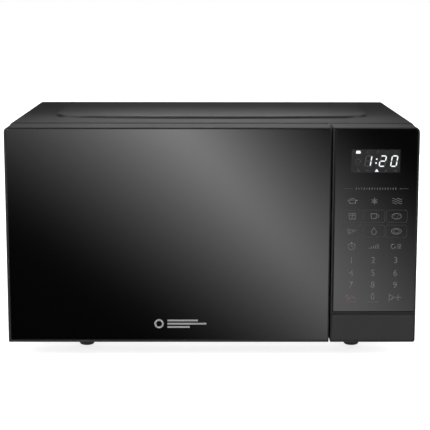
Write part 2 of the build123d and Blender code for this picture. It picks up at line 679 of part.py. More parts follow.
def turntable_motor():
    """The flat synchronous gear motor under the cavity floor."""
    can = rod_z(TURN_X, TURN_Y, 24.5, MOTOR_Z)
    can = fillet(can.edges().sort_by(Axis.Z)[0], 1.5)
    ears_z = (MOTOR_Z[1] - 1, MOTOR_Z[1])
    ears = slab_z((TURN_X - 34, TURN_X + 34), (TURN_Y - 7, TURN_Y + 7), ears_z, (6,) * 4)
    ears -= [rod_z(TURN_X + s * 28, TURN_Y, 2.2, (MOTOR_Z[1] - 2, MOTOR_Z[1] + 1)) for s in (-1, 1)]
    tabs = block((TURN_X - 5, TURN_X + 5), (TURN_Y + 24, TURN_Y + 33), (27.0, 33.0))
    return can + ears + tabs - rod_z(TURN_X, TURN_Y, 4.2, (MOTOR_Z[0] + 4, MOTOR_Z[1] + 1))


def turntable_coupler():
    """The drive shaft and the three-lobed hub that turns the glass tray."""
    shaft = rod_z(TURN_X, TURN_Y, 4.1, (MOTOR_Z[0] + 4.2, 39.4))
    hub = rod_z(TURN_X, TURN_Y, 9.0, (39.4, 47.4))
    hub = fillet(hub.edges().sort_by(Axis.Z)[-1], 1.0)
    lobe = slab_z((TURN_X + 5, TURN_X + 19), (TURN_Y - 4, TURN_Y + 4), (44.0, 51.2), (0, 3, 3, 0))
    return shaft + hub + around_z(lobe, 3)


def glass_tray():
    """The round glass plate: a flat floor, a raised rim and three ribs that the hub drives."""
    r, z0, t = TRAY_RADIUS, TRAY_UNDER, TRAY_THICK
    profile = Polyline(
        (0, z0),
        (r - 14, z0),
        (r - 5, z0 + 3.5),
        (r, TRAY_RIM - 3),
        (r, TRAY_RIM),
        (r - 3, TRAY_RIM),
        (r - 8, z0 + t + 3),
        (r - 16, z0 + t),
        (0, z0 + t),
        close=True,
    )
    face = make_face(profile)
    rim = [v for v in face.vertices() if v.X > r - 20]
    face = fillet([v for v in rim if v.Y < TRAY_RIM - 1], 2.0)
    plate = Pos(TURN_X, TURN_Y, 0) * revolve(Plane.XZ * face, Axis.Z)
    rib = slab_z((TURN_X + 7, TURN_X + 20), (TURN_Y - 3, TURN_Y + 3), (z0 - 3.6, z0 + 1), (2,) * 4)
    centre = Pos(TURN_X, TURN_Y, 0)
    between = centre * Rot(0, 0, 60) * centre.inverse()
    return plate + around_z(between * rib, 3)


def roller_ring():
    """The plastic ring with three axle pins that keeps the rollers under the tray."""
    ring = rod_z(TURN_X, TURN_Y, 81.0, (ROLLER_Z - 2.5, ROLLER_Z + 2.5))
    ring -= rod_z(TURN_X, TURN_Y, 77.0, (ROLLER_Z - 4, ROLLER_Z + 4))
    x = TURN_X + ROLLER_ORBIT
    axle = rod_x(TURN_Y, ROLLER_Z, ROLLER_PIN, (TURN_X + 79, x + 4.2))
    axle += rod_x(TURN_Y, ROLLER_Z, 2.6, (x + 4.2, x + 5.8))
    axle += rod_x(TURN_Y, ROLLER_Z, 3.2, (TURN_X + 79, x - 4.2))
    ring += around_z(axle, ROLLER_COUNT)
    spoke = block((TURN_X + 20, TURN_X + 79), (TURN_Y - 2, TURN_Y + 2), (ROLLER_Z - 1.5, ROLLER_Z + 1.5))
    hub = rod_z(TURN_X, TURN_Y, 24.0, (ROLLER_Z - 1.5, ROLLER_Z + 1.5))
    hub -= rod_z(TURN_X, TURN_Y, 20.6, (ROLLER_Z - 3, ROLLER_Z + 3))
    return ring + around_z(spoke - rod_z(TURN_X, TURN_Y, 22.0, (30, 60)), ROLLER_COUNT) + hub


def roller(index):
    """One wheel of the roller ring, on its radial axle."""
    x = TURN_X + ROLLER_ORBIT
    wheel = rod_x(TURN_Y, ROLLER_Z, ROLLER_RADIUS, (x - 3.6, x + 3.6))
    wheel = fillet(wheel.edges().filter_by(GeomType.CIRCLE), 0.8)
    wheel -= rod_x(TURN_Y, ROLLER_Z, ROLLER_BORE, (x - 5, x + 5))
    return around_z(wheel, ROLLER_COUNT)[index]


# ---- door ------------------------------------------------------------------------------------------

GLASS_X = (DOOR_X[0] + 2.6, DOOR_X[1] - 1.0)
GLASS_Z = (BOTTOM + 2.6, TOP - 1.2)
GLASS_CORNERS = (1.0, 1.0, 1.0, CORNER - 1.6)
HINGE_NOTCHES = [
    block((DOOR_X[0] - 1, HINGE_X + 5.8), (HINGE_Y - 7, DOOR_REAR + 1), (z - 0.8, z + ARM_THICK + 0.8))
    for z in (LOWER_ARM_Z, UPPER_ARM_Z)
]


def swing_corner():
    """What is cut off the door's rear hinge edge so that it turns clear of the steel face."""
    z = (BOTTOM - 1, TOP + 1)
    corner = block((DOOR_X[0] - 2, HINGE_X), (HINGE_Y, DOOR_REAR + 2), z)
    return corner - rod_z(HINGE_X, HINGE_Y, SWING_RADIUS, grow(z, 1))


def door_glass():
    """The mirrored black outer glass, bonded to the door frame."""
    glass = slab_y(GLASS_X, (FRONT, FRONT + GLASS_THICK), GLASS_Z, GLASS_CORNERS)
    return fillet(glass.faces().sort_by(Axis.Y)[0].edges(), 0.5)


def door_frame():
    """The moulded door surround, with the pocket for the glass and the bores for the hinge pins."""
    z = (BOTTOM, TOP)
    body = slab_y(DOOR_X, (DOOR_LIP, DOOR_REAR), z, (1.0, 1.0, 1.0, CORNER))
    lip = body.faces().sort_by(Axis.Y)[0].edges()
    body = fillet([e for e in lip if e.center().Z > TOP - CORNER or e.center().X < DOOR_X[0] + 2], LIP_ROUND)
    inset = 2.5
    glass_back = FRONT + GLASS_THICK
    pocket_corners = (1.2, 1.2, 1.2, CORNER - 1.4)
    pocket_y = (DOOR_LIP - 2, glass_back)
    body -= slab_y(grow(GLASS_X, 0.25), pocket_y, grow(GLASS_Z, 0.25), pocket_corners)
    body -= slab_y((-196.0, 104.0), (DOOR_LIP - 1, glass_back + 5), (38.0, 230.0), (8,) * 4)
    inside_corners = (1.0, 1.0, 1.0, CORNER - inset)
    inside_y = (glass_back + 2.5, DOOR_REAR + 1)
    inside = slab_y(grow(DOOR_X, -inset), inside_y, grow(z, -inset), inside_corners)
    body -= inside
    for z_arm, side in ((LOWER_ARM_Z + ARM_THICK, 1), (UPPER_ARM_Z, -1)):
        boss_z = sorted((z_arm + side * 0.8, z_arm + side * (PIN_LENGTH + 0.6)))
        boss = rod_z(HINGE_X, HINGE_Y, 6.4, boss_z)
        boss += block((DOOR_X[0] + 2, HINGE_X + 6.4), (glass_back + 2, HINGE_Y), boss_z)
        body += boss - rod_z(HINGE_X, HINGE_Y, PIN_BORE, grow(boss_z, 1))
    return body - [*HINGE_NOTCHES, swing_corner()]


def door_panel():
    """The pressed steel inner panel: a window plateau in a deep choke channel."""
    y = (CHANNEL_FRONT, PLATEAU_REAR)
    outer_y = (CHANNEL_FRONT, DOOR_REAR - 3.9)
    outer = slab_y(PANEL_X, outer_y, PANEL_Z, (6,) * 4)
    channel = slab_y(grow(PANEL_X, -SHEET), (y[0] + SHEET, outer_y[1] + 1), grow(PANEL_Z, -SHEET), (5.2,) * 4)
    plateau = slab_y(PLATEAU_X, y, PLATEAU_Z, (6,) * 4)
    hollow = slab_y(grow(PLATEAU_X, -SHEET), (y[0] - 1, y[1] - SHEET), grow(PLATEAU_Z, -SHEET), (5.2,) * 4)
    panel = outer - channel + plateau - hollow
    slot = block((-5, 5), (y[0] + 6, y[1] - 4), (-2, 2))
    cuts = row_of_slots(slot, (-160.0, 0, PLATEAU_Z[0]), (24, 0, 0), 10)
    cuts += row_of_slots(slot, (-160.0, 0, PLATEAU_Z[1]), (24, 0, 0), 10)
    return panel - cuts


def inner_window():
    """The clear sheet over the window on the cavity side."""
    y0 = PLATEAU_REAR + 0.1
    return slab_y(grow(WINDOW_X, 10), (y0, y0 + 1.0), grow(WINDOW_Z, 8), (5,) * 4)


COVER_Y = (DOOR_REAR - 2.7, DOOR_REAR - 0.4)
LATCH_SPRING_AT = (112.0, FRONT + 28.0)
LATCH_BAR_Z = (66.0, 214.0)
LATCH_SEAT_Z = 232.0


def choke_cover():
    """The moulded ring that closes the choke channel, slotted for the hooks, with the latch spring's seat."""
    x, z = (DOOR_X[0] + 4.2, DOOR_X[1] - 3.0), (BOTTOM + 3.0, TOP - 3.0)
    ring = slab_y(x, COVER_Y, z, (2, 2, 2, CORNER - 3))
    ring -= slab_y((-178.0, 86.0), grow(COVER_Y, 1), (60.0, 218.0), (8,) * 4)
    rear = ring.faces().sort_by(Axis.Y)[-1]
    ring = chamfer(rear.inner_wires()[0].edges(), 1.2)
    for i in range(2):
        hook = HOOK_LOW_Z + i * HOOK_SPACING
        ring -= block((109.7, 114.3), grow(COVER_Y, 1), (hook - 1, hook + HOOK_HEIGHT + LATCH_TRAVEL + 1))
    seat_x, seat_y = LATCH_SPRING_AT
    ring += block((seat_x - 5, seat_x + 5), (seat_y - 6, COVER_Y[0]), (LATCH_SEAT_Z, LATCH_SEAT_Z + 2.5))
    return ring - [*HINGE_NOTCHES, swing_corner()]


def door_latch():
    """The sliding bar inside the door with the two hooks that reach into the interlock."""
    bar = slab_x(HOOK_X, (FRONT + 21.0, FRONT + 36.0), LATCH_BAR_Z, (3,) * 4)
    for i in range(2):
        z = HOOK_LOW_Z + i * HOOK_SPACING
        bar += block(HOOK_X, (FRONT + 34.0, HOOK_TIP), (z, z + HOOK_HEIGHT))
        barb_x = (HOOK_X[0], HOOK_BARB_X)
        low, high = z - BARB_DROP, z + HOOK_HEIGHT
        bar += prism_x(
            [(HOOK_TIP - 8, low), (HOOK_TIP - 3, low), (HOOK_TIP, z),
             (HOOK_TIP, high - 2), (HOOK_TIP - 2, high), (HOOK_TIP - 8, high)],
            barb_x,
        )
    return bar


def latch_spring():
    """The spring that pulls the hooks down behind their catches, at its length with the hooks up."""
    span = (LATCH_BAR_Z[1] + LATCH_TRAVEL + 0.1, LATCH_SEAT_Z - 0.1)
    return Pos(*LATCH_SPRING_AT, 0) * coil(4.0, 0.6, span, 7)


def door_hinges():
    """The upper and lower hinge brackets, each with the pin that the door turns on."""
    brackets = []
    for z0, side in ((LOWER_ARM_Z, 1), (UPPER_ARM_Z, -1)):
        arm_z = (z0, z0 + ARM_THICK)
        arm = block((HINGE_X - ARM_HALF_WIDTH, HINGE_X + ARM_HALF_WIDTH), (HINGE_Y, PLATE_BACK + 2.1), arm_z)
        arm += rod_z(HINGE_X, HINGE_Y, ARM_HALF_WIDTH, arm_z)
        face = z0 + ARM_THICK if side > 0 else z0
        pin = sorted((face, face + side * PIN_LENGTH))
        arm += rod_z(HINGE_X, HINGE_Y, PIN_RADIUS, pin)
        flange_z = sorted((z0 + ARM_THICK if side < 0 else z0, z0 + side * 28))
        flange_y = (PLATE_BACK + 0.1, PLATE_BACK + 2.1)
        flange = slab_y((HINGE_X - 5.2, HINGE_X + 4.6), flange_y, flange_z, (2,) * 4)
        brackets.append(arm + flange)
    return brackets


# ---- latch mechanism and control panel ------------------------------------------------------

WALL_LEFT = (105.3, 106.9)
WALL_RIGHT = (121.0, 122.6)
CHEEK = (136.0, 137.8)
BRACKET_Y = (PLATE_BACK + 0.2, PLATE_BACK + 2.7)


def interlock_bracket():
    """The moulding behind the steel face that takes the hooks, the lever and the three switches."""
    deep = (BRACKET_Y[0], HOOK_TIP + 5)
    z = (56.0, 216.0)
    body = block((WALL_LEFT[0], WALL_RIGHT[1]), BRACKET_Y, z)
    body += block((WALL_RIGHT[0], CHEEK[1]), BRACKET_Y, (56.0, 78.0))
    body += [block(WALL_LEFT, deep, z), block(WALL_RIGHT, deep, z)]
    body += block(CHEEK, (BRACKET_Y[0], LEVER_Y + 6), (56.0, 78.0))
    cuts = []
    for i in range(2):
        hook = HOOK_LOW_Z + i * HOOK_SPACING
        cuts.append(block((WALL_LEFT[1], WALL_RIGHT[0]), grow(BRACKET_Y, 1), (hook - 5, hook + 13)))
        ledge_z = (hook - BARB_DROP - 5, hook - BARB_DROP - 0.4)
        body += block((WALL_LEFT[1], HOOK_X[1] - 0.4), (FRONT + 57.0, FRONT + 63.0), ledge_z)
    for wall in (WALL_LEFT, CHEEK):
        cuts.append(rod_x(LEVER_Y, LEVER_Z, LEVER_SHAFT + 0.07, grow(wall, 1)))
    cuts.append(rod_x(LEVER_Y, LEVER_Z, 4.2, grow(WALL_RIGHT, 1)))
    cuts.append(block((126.0, CHEEK[0]), grow(BRACKET_Y, 1), (55.0, 63.0)))
    return body - cuts


def interlock_switches():
    """Three snap-action door switches, each with its three blade terminals."""
    switches = []
    for z in (104.0, 138.0, 184.0):
        x = (WALL_RIGHT[1], WALL_RIGHT[1] + 10.3)
        body = block(x, (PLATE_BACK + 4, PLATE_BACK + 20), (z - 13.9, z + 13.9))
        body += block((x[0] + 3, x[1] - 3), (PLATE_BACK + 2.9, PLATE_BACK + 4), (z - 2, z + 2))
        for dz in (-9.0, 0.0, 9.0):
            tab_z = (z + dz - 0.4, z + dz + 0.4)
            body += block((x[0] + 2, x[1] - 2), (PLATE_BACK + 20, PLATE_BACK + 28), tab_z)
        switches.append(body)
    return switches


def release_lever():
    """The rocking lever: the button pushes its lower arm, and its rear arm lifts the lower hook."""
    shaft = rod_x(LEVER_Y, LEVER_Z, LEVER_SHAFT, (WALL_LEFT[0] + 0.2, CHEEK[1] - 0.2))
    push = block((129.0, 134.5), (LEVER_Y - 3.6, LEVER_Y), (PUSH_Z - 5, LEVER_Z))
    push += rod_x(LEVER_Y, LEVER_Z, 4.0, (129.0, 134.5))
    tip_y, tip_z = HOOK_TIP - 2.6, HOOK_LOW_Z - BARB_DROP - 0.4
    lift = prism_x(
        [(LEVER_Y - 2, LEVER_Z - 3), (LEVER_Y + 2, LEVER_Z - 3),
         (tip_y + 1.6, tip_z - 3.4), (tip_y + 1.6, tip_z - 0.6),
         (tip_y, tip_z), (tip_y - 3, tip_z), (LEVER_Y, LEVER_Z + 4), (LEVER_Y - 2, LEVER_Z + 3)],
        (114.0, HOOK_BARB_X),
    )
    return shaft + push + lift


def release_button():
    """The wide door button: a shallow cap, two guide ribs and the rod that works the lever."""
    rear = BUTTON_FACE + 13.0
    cap = slab_y(BUTTON_X, (BUTTON_FACE, rear), BUTTON_Z, (0.6, 1.2, 0.6, 0.6))
    cap = fillet(cap.faces().sort_by(Axis.Y)[0].edges(), 0.5)
    cap -= block(grow(BUTTON_X, -2.0), (BUTTON_FACE + 2.6, rear + 1), grow(BUTTON_Z, -2.0))
    inner = BUTTON_FACE + 2.6
    nose_y = LEVER_Y - 6.0
    rod = block(ROD_X, (inner - 0.5, nose_y), grow((PUSH_Z, PUSH_Z), 4))
    rod += rod_x(nose_y, PUSH_Z, 2.0, ROD_X)
    cup = rod_y(BUTTON_SPRING_X, BUTTON_SPRING_Z, 8.2, (inner - 0.5, inner + 5))
    cup -= rod_y(BUTTON_SPRING_X, BUTTON_SPRING_Z, 6.2, (inner, inner + 6))
    rib_z = (BUTTON_Z[0] + 1, BUTTON_Z[1] - 1)
    ribs = [block((x, x + 1.6), (inner - 0.5, rear), rib_z) for x in (150.0, 198.0)]
    return cap + rod + cup + ribs


def button_spring():
    """The spring that returns the button, at its length with the button in."""
    place = Pos(BUTTON_SPRING_X, 0, BUTTON_SPRING_Z) * Rot(-90, 0, 0)
    return place * coil(4.8, 0.6, (BUTTON_FACE + BUTTON_TRAVEL + 2.7, BUTTON_WALL_Y - 0.1), 6)


def panel_housing():
    """The control panel's moulding: a pocket for its front glass, a display window and the button's bay."""
    z = (BOTTOM, TOP)
    body = slab_y(HOUSING_X, (DOOR_LIP, PLATE - 0.2), z, (1.0, 2.5, CORNER, 1.0))
    lip = body.faces().sort_by(Axis.Y)[0].edges()
    body = fillet([e for e in lip if e.center().Z > TOP - CORNER], LIP_ROUND)
    pocket_x = (OVERLAY_X[0] - 1.0, OVERLAY_X[1] + 0.25)
    pocket_y = (DOOR_LIP - 2, HOUSING_FRONT_WALL[0])
    pocket_z = (OVERLAY_Z[0] - 1.1, OVERLAY_Z[1] + 0.25)
    body -= slab_y(pocket_x, pocket_y, pocket_z, (0.6, 0.6, CORNER - 1.6, 0.6))
    upper = (BUTTON_Z[1] + 2.0, TOP - 2.5)
    body -= slab_y(
        grow(HOUSING_X, -2.3), (HOUSING_FRONT_WALL[1], PLATE + 1), upper, (0.5, 0.5, CORNER - 2.5, 0.5)
    )
    bay_x = (HOUSING_X[0] + 0.9, HOUSING_X[1] - 1.5)
    bay_z = (BUTTON_Z[0] - 0.4, BUTTON_Z[1] + 0.7)
    bay = slab_y(bay_x, (DOOR_LIP - 2, BUTTON_WALL_Y), bay_z, (0.8, 1.6, 0.8, 0.8))
    behind = block(grow(HOUSING_X, -2.3), (BUTTON_WALL_Y + 2, PLATE + 1), (BOTTOM + 2.3, BUTTON_Z[1] + 2.1))
    display = block(grow(DISPLAY_X, 1.0), grow(HOUSING_FRONT_WALL, 1), grow(DISPLAY_Z, 1.0))
    rod_hole = block(grow(ROD_X, 0.6), (BUTTON_WALL_Y - 1, BUTTON_WALL_Y + 3), grow((PUSH_Z, PUSH_Z), 5))
    tail = block((160.0, 190.0), grow(HOUSING_FRONT_WALL, 1), (56.0, 60.0))
    body -= [bay, behind, display, rod_hole, tail]
    seal = block((HOUSING_X[0] - 0.8, HOUSING_X[0] + 0.5), (FRONT + 20.0, FRONT + 21.5), (BOTTOM, TOP - 8))
    return body + seal


def control_overlay():
    """The dark front glass of the control panel, which carries the printed keys."""
    glass = slab_y(OVERLAY_X, (FRONT, FRONT + 2.2), OVERLAY_Z, (0.5, 0.5, CORNER - 1.8, 0.5))
    return fillet(glass.faces().sort_by(Axis.Y)[0].edges(), 0.4)


def keypad_membrane():
    """The switch membrane behind the key area of the overlay."""
    return block((134.0, 213.0), (FRONT + 2.3, FRONT + 3.1), (56.0, 190.0))


def display_module():
    """The lit clock display behind its window."""
    module = block(grow(DISPLAY_X, 0.4), (FRONT + 2.6, FRONT + 17.0), grow(DISPLAY_Z, 0.4))
    pins = [block((x, x + 0.8), (FRONT + 17.0, FRONT + 20.8), (DISPLAY_Z[0] + 3, DISPLAY_Z[0] + 3.8))
            for x in (152.0, 164.0, 176.0, 188.0, 196.0)]
    return module + pins


BOARD_Y = (FRONT + 20.8, FRONT + 22.4)


def control_board():
    """The control circuit board, on four pillars from the housing's front wall."""
    board = block((131.0, 215.0), BOARD_Y, (62.0, 238.0))
    pillars = [
        rod_y(x, z, 2.5, (HOUSING_FRONT_WALL[1], BOARD_Y[0])) for x in (135.0, 211.0) for z in (68.0, 232.0)
    ]
    return board + pillars


def board_components():
    """The parts on the control board: a mains transformer, relays, a buzzer, a capacitor and a connector."""
    y = BOARD_Y[1]
    transformer = block((136.0, 166.0), (y, y + 19), (74.0, 100.0))
    relays = [block((x, x + 15), (y, y + 15), (112.0, 132.0)) for x in (136.0, 156.0, 176.0)]
    buzzer = rod_y(200.0, 88.0, 6.5, (y, y + 8)) - rod_y(200.0, 88.0, 1.2, (y + 6, y + 9))
    capacitor = rod_y(182.0, 88.0, 5.0, (y, y + 14))
    connector = block((150.0, 190.0), (y, y + 9), (150.0, 158.0))
    chip = block((160.0, 174.0), (y, y + 2.5), (176.0, 190.0))
    return [transformer, *relays, buzzer, capacitor, connector, chip]


# ---- writing ---------------------------------------------------------------------------------------

SUB_PARTS = {
    "outer_wrapper": outer_wrapper,
    "rear_panel": rear_panel,
    "case_screws": case_screws,
    "rear_spacers": rear_spacers,
    "base_plate": base_plate,
    "feet": feet,
    "motor_access_cover": motor_access_cover,
    "cord_gland": cord_gland,
    "front_plate": front_plate,
    "cavity_box": cavity_box,
    "waveguide_cover": waveguide_cover,
    "waveguide": waveguide,
    "magnetron_yoke": magnetron_yoke,
    "magnetron_anode": magnetron_anode,
    "magnetron_fins": magnetron_fins,
    "magnetron_filter_box": magnetron_filter_box,
    "transformer_core": transformer_core,
    "transformer_windings": transformer_windings,
    "hv_capacitor": hv_capacitor,
    "capacitor_clamp": capacitor_clamp,
    "hv_diode": hv_diode,
    "fan_shroud": fan_shroud,
    "fan_blade": fan_blade,
    "fan_rotor": fan_rotor,
    "fan_motor_core": fan_motor_core,
    "fan_motor_coil": fan_motor_coil,
    "fan_motor_brackets": fan_motor_brackets,
    "air_duct": air_duct,
    "lamp_holder": lamp_holder,
    "oven_lamp": oven_lamp,
    "thermal_cutouts": thermal_cutouts,
    "filter_board": filter_board,
    "filter_components": filter_components,
    "turntable_motor": turntable_motor,
    "turntable_coupler": turntable_coupler,
    "glass_tray": glass_tray,
    "roller_ring": roller_ring,
    "door_glass": door_glass,
    "door_frame": door_frame,
    "door_panel": door_panel,
    "inner_window": inner_window,
    "choke_cover": choke_cover,
    "door_latch": door_latch,
    "latch_spring": latch_spring,
    "door_hinges": door_hinges,
    "interlock_bracket": interlock_bracket,
    "interlock_switches": interlock_switches,
    "release_lever": release_lever,
    "release_button": release_button,
    "button_spring": button_spring,
    "panel_housing": panel_housing,
    "control_overlay": control_overlay,
    "keypad_membrane": keypad_membrane,
    "display_module": display_module,
    "control_board": control_board,
    "board_components": board_components,
}
for number in range(ROLLER_COUNT):
    SUB_PARTS[f"roller_{number + 1}"] = lambda number=number: roller(number)


def write(name, shape):
    solids = list(shape) if isinstance(shape, list) else [shape]
    solids = [s for part in solids for s in part.solids()]
    export_step(Compound(children=solids), f"parts/{name}.step")


os.makedirs("parts", exist_ok=True)
for name, make in SUB_PARTS.items():
    write(name, make())
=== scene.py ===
"""Looks of a countertop microwave oven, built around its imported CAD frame. Lengths are in metres."""

import json
from math import cos, pi, radians, sin

import bmesh
import bpy
from mathutils import Matrix, Vector

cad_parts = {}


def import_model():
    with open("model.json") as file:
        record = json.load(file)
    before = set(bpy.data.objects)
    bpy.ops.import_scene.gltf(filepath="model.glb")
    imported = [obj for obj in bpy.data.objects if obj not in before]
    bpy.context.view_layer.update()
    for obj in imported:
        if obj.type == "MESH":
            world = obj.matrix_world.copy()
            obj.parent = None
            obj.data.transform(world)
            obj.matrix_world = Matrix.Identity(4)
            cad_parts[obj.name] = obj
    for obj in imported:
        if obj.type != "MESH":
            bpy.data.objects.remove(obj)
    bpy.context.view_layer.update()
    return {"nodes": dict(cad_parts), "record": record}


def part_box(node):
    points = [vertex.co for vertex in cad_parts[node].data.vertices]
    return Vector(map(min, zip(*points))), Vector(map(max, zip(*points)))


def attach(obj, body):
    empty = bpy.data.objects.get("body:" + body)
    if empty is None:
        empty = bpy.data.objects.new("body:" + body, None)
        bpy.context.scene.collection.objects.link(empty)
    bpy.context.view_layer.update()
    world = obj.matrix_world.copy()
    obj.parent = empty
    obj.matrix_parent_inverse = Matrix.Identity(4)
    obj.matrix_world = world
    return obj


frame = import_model()

MM = 0.001
NODES = frame["nodes"]


def low(node):
    return Vector(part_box(node)[0])


def high(node):
    return Vector(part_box(node)[1])


# Places that the pieces are built from, all read from the frame. The front's marks are laid out in
# millimetres.
FRONT_Y = low("door_glass").y
BASE_Z = low("door_frame").z
WINDOW_LOW, WINDOW_HIGH = low("inner_window"), high("inner_window")
GLASS_LEFT, GLASS_FOOT = low("door_glass").x / MM, low("door_glass").z / MM
PANEL_LEFT, PANEL_FOOT = low("control_overlay").x / MM, low("control_overlay").z / MM
CLOCK_LEFT, CLOCK_FOOT = low("display_module").x / MM, low("display_module").z / MM
CLOCK_RIGHT, CLOCK_HEAD = high("display_module").x / MM, high("display_module").z / MM


# ---- node materials ------------------------------------------------------------------------------


class Tree:
    """A node tree, with short calls for adding nodes to it."""

    def __init__(self, tree):
        self.tree = tree

    def node(self, kind, inputs=None, **settings):
        node = self.tree.nodes.new(kind)
        for key, value in settings.items():
            setattr(node, key, value)
        for key, value in (inputs or {}).items():
            if isinstance(value, bpy.types.NodeSocket):
                self.tree.links.new(value, node.inputs[key])
            else:
                node.inputs[key].default_value = value
        return node

    def math(self, operation, first, second=0.0):
        return self.node("ShaderNodeMath", {0: first, 1: second}, operation=operation).outputs[0]

    def mapped(self, value, low_out, high_out, low_in=0.0, high_in=1.0, kind="LINEAR"):
        limits = {"From Min": low_in, "From Max": high_in, "To Min": low_out, "To Max": high_out}
        node = self.node("ShaderNodeMapRange", {"Value": value, **limits}, interpolation_type=kind)
        return node.outputs["Result"]


class Graph(Tree):
    """A material's node tree, with short calls for what the finishes are made of."""

    def __init__(self, name, **sockets):
        self.material = bpy.data.materials.new(name)
        self.material.use_nodes = True
        super().__init__(self.material.node_tree)
        self.shader = self.tree.nodes["Principled BSDF"]
        for key, value in sockets.items():
            self.set(key, value)
        self.place = self.tree.nodes.new("ShaderNodeTexCoord").outputs["Object"]

    def set(self, key, value):
        name = key.replace("_", " ").title().replace("Ior", "IOR")
        self.shader.inputs[name].default_value = value

    def link(self, output, name):
        self.tree.links.new(output, self.shader.inputs[name])

    def noise(self, scale, detail=3.0, rough=0.5, place=None):
        inputs = {"Vector": place or self.place, "Scale": scale, "Detail": detail, "Roughness": rough}
        return self.node("ShaderNodeTexNoise", inputs).outputs["Fac"]

    def ramp(self, value, *stops):
        node = self.node("ShaderNodeValToRGB", {"Fac": value})
        while len(node.color_ramp.elements) < len(stops):
            node.color_ramp.elements.new(0.5)
        for element, (position, color) in zip(node.color_ramp.elements, stops):
            element.position = position
            element.color = tone(color)
        return node.outputs["Color"]

    def stretched(self, scale):
        return self.node("ShaderNodeMapping", {"Vector": self.place, "Scale": scale}).outputs["Vector"]

    def bump(self, height, distance, strength=1.0):
        node = self.node("ShaderNodeBump", {"Height": height, "Distance": distance, "Strength": strength})
        self.link(node.outputs["Normal"], "Normal")


def tone(value):
    """A grey or a colour as RGBA."""
    if isinstance(value, (int, float)):
        return (value, value, value, 1.0)
    return (*value, 1.0)


def powder_paint():
    """Satin dark grey powder coat with a fine speckle and a little orange peel."""
    g = Graph("powder_paint", specular_ior_level=0.5)
    fine = g.noise(2600.0, 2.0)
    broad = g.noise(9.0, 4.0)
    speckle = g.ramp(fine, (0.35, 0.010), (0.62, 0.016), (0.78, 0.034))
    shade = g.ramp(broad, (0.3, 0.92), (0.7, 1.0))
    mixed = g.node("ShaderNodeMix", data_type="RGBA", blend_type="MULTIPLY")
    g.tree.links.new(speckle, mixed.inputs["A"])
    g.tree.links.new(shade, mixed.inputs["B"])
    mixed.inputs["Factor"].default_value = 1.0
    g.link(mixed.outputs["Result"], "Base Color")
    g.link(g.mapped(fine, 0.36, 0.50), "Roughness")
    g.bump(g.noise(900.0, 2.0), 0.00008, 0.5)
    return g.material


def grained_plastic(name, dark, light, rough=(0.42, 0.55), grain=1400.0, depth=0.00006):
    """Moulded plastic with a spark-eroded grain."""
    g = Graph(name, specular_ior_level=0.45)
    fine = g.noise(grain, 3.0, 0.6)
    g.link(g.ramp(fine, (0.3, dark), (0.7, light)), "Base Color")
    g.link(g.mapped(g.noise(14.0, 4.0), *rough, 0.3, 0.7), "Roughness")
    g.bump(fine, depth, 0.6)
    return g.material


def mirror_black(name, base, rough=(0.015, 0.05)):
    """Black mirrored glass or gloss overlay, with faint handling marks in the gloss."""
    g = Graph(name, specular_ior_level=1.0, coat_weight=0.0)
    cloud = g.noise(5.0, 6.0, 0.62)
    g.link(g.ramp(g.noise(60.0, 3.0), (0.3, base), (0.7, base * 1.3)), "Base Color")
    g.link(g.mapped(cloud, *rough, 0.35, 0.75), "Roughness")
    return g.material


def enamel():
    """Light grey speckled enamel of the cavity and the door's inner panel."""
    g = Graph("grey_enamel", specular_ior_level=0.5)
    flecks = g.noise(1500.0, 2.0)
    g.link(g.ramp(flecks, (0.30, 0.30), (0.42, 0.50), (0.70, 0.56)), "Base Color")
    g.link(g.mapped(g.noise(20.0, 4.0), 0.26, 0.38, 0.3, 0.7), "Roughness")
    g.bump(g.noise(160.0, 3.0), 0.0001, 0.3)
    return g.material


def zinc():
    """Galvanised sheet with its spangle."""
    g = Graph("zinc_sheet", metallic=0.9)
    cells = g.node("ShaderNodeTexVoronoi", {"Vector": g.place, "Scale": 240.0}, feature="F1")
    shade = g.node("ShaderNodeSeparateColor", {"Color": cells.outputs["Color"]}).outputs[0]
    g.link(g.ramp(shade, (0.0, 0.42), (1.0, 0.54)), "Base Color")
    g.link(g.mapped(shade, 0.36, 0.48), "Roughness")
    return g.material


def metal(name, dark, light, rough=(0.25, 0.4), stretch=(1, 1, 1), scale=300.0, metallic=1.0):
    """Bare metal with a fine directional grain."""
    g = Graph(name, metallic=metallic)
    fine = g.noise(scale, 4.0, 0.6, g.stretched(stretch))
    g.link(g.ramp(fine, (0.3, dark), (0.7, light)), "Base Color")
    g.link(g.mapped(fine, *rough, 0.3, 0.7), "Roughness")
    g.bump(fine, 0.00003, 0.5)
    return g.material


def clear_glass(name, tint, rough=0.02):
    """Clear glass or film with a trace of haze."""
    g = Graph(name, transmission_weight=1.0, ior=1.48)
    g.link(g.ramp(g.noise(30.0, 3.0), (0.3, tint), (0.7, tuple(c * 0.97 for c in tint))), "Base Color")
    g.link(g.mapped(g.noise(12.0, 5.0), rough, rough * 3), "Roughness")
    return g.material


def lit_segment(name, color, strength):
    """A lit segment of the clock, its glow varying faintly at random."""
    g = Graph(name, base_color=tone(0.02), roughness=0.4, emission_strength=strength)
    g.link(g.ramp(g.noise(900.0, 2.0), (0.3, tuple(c * 0.86 for c in color)), (0.7, color)), "Emission Color")
    return g.material


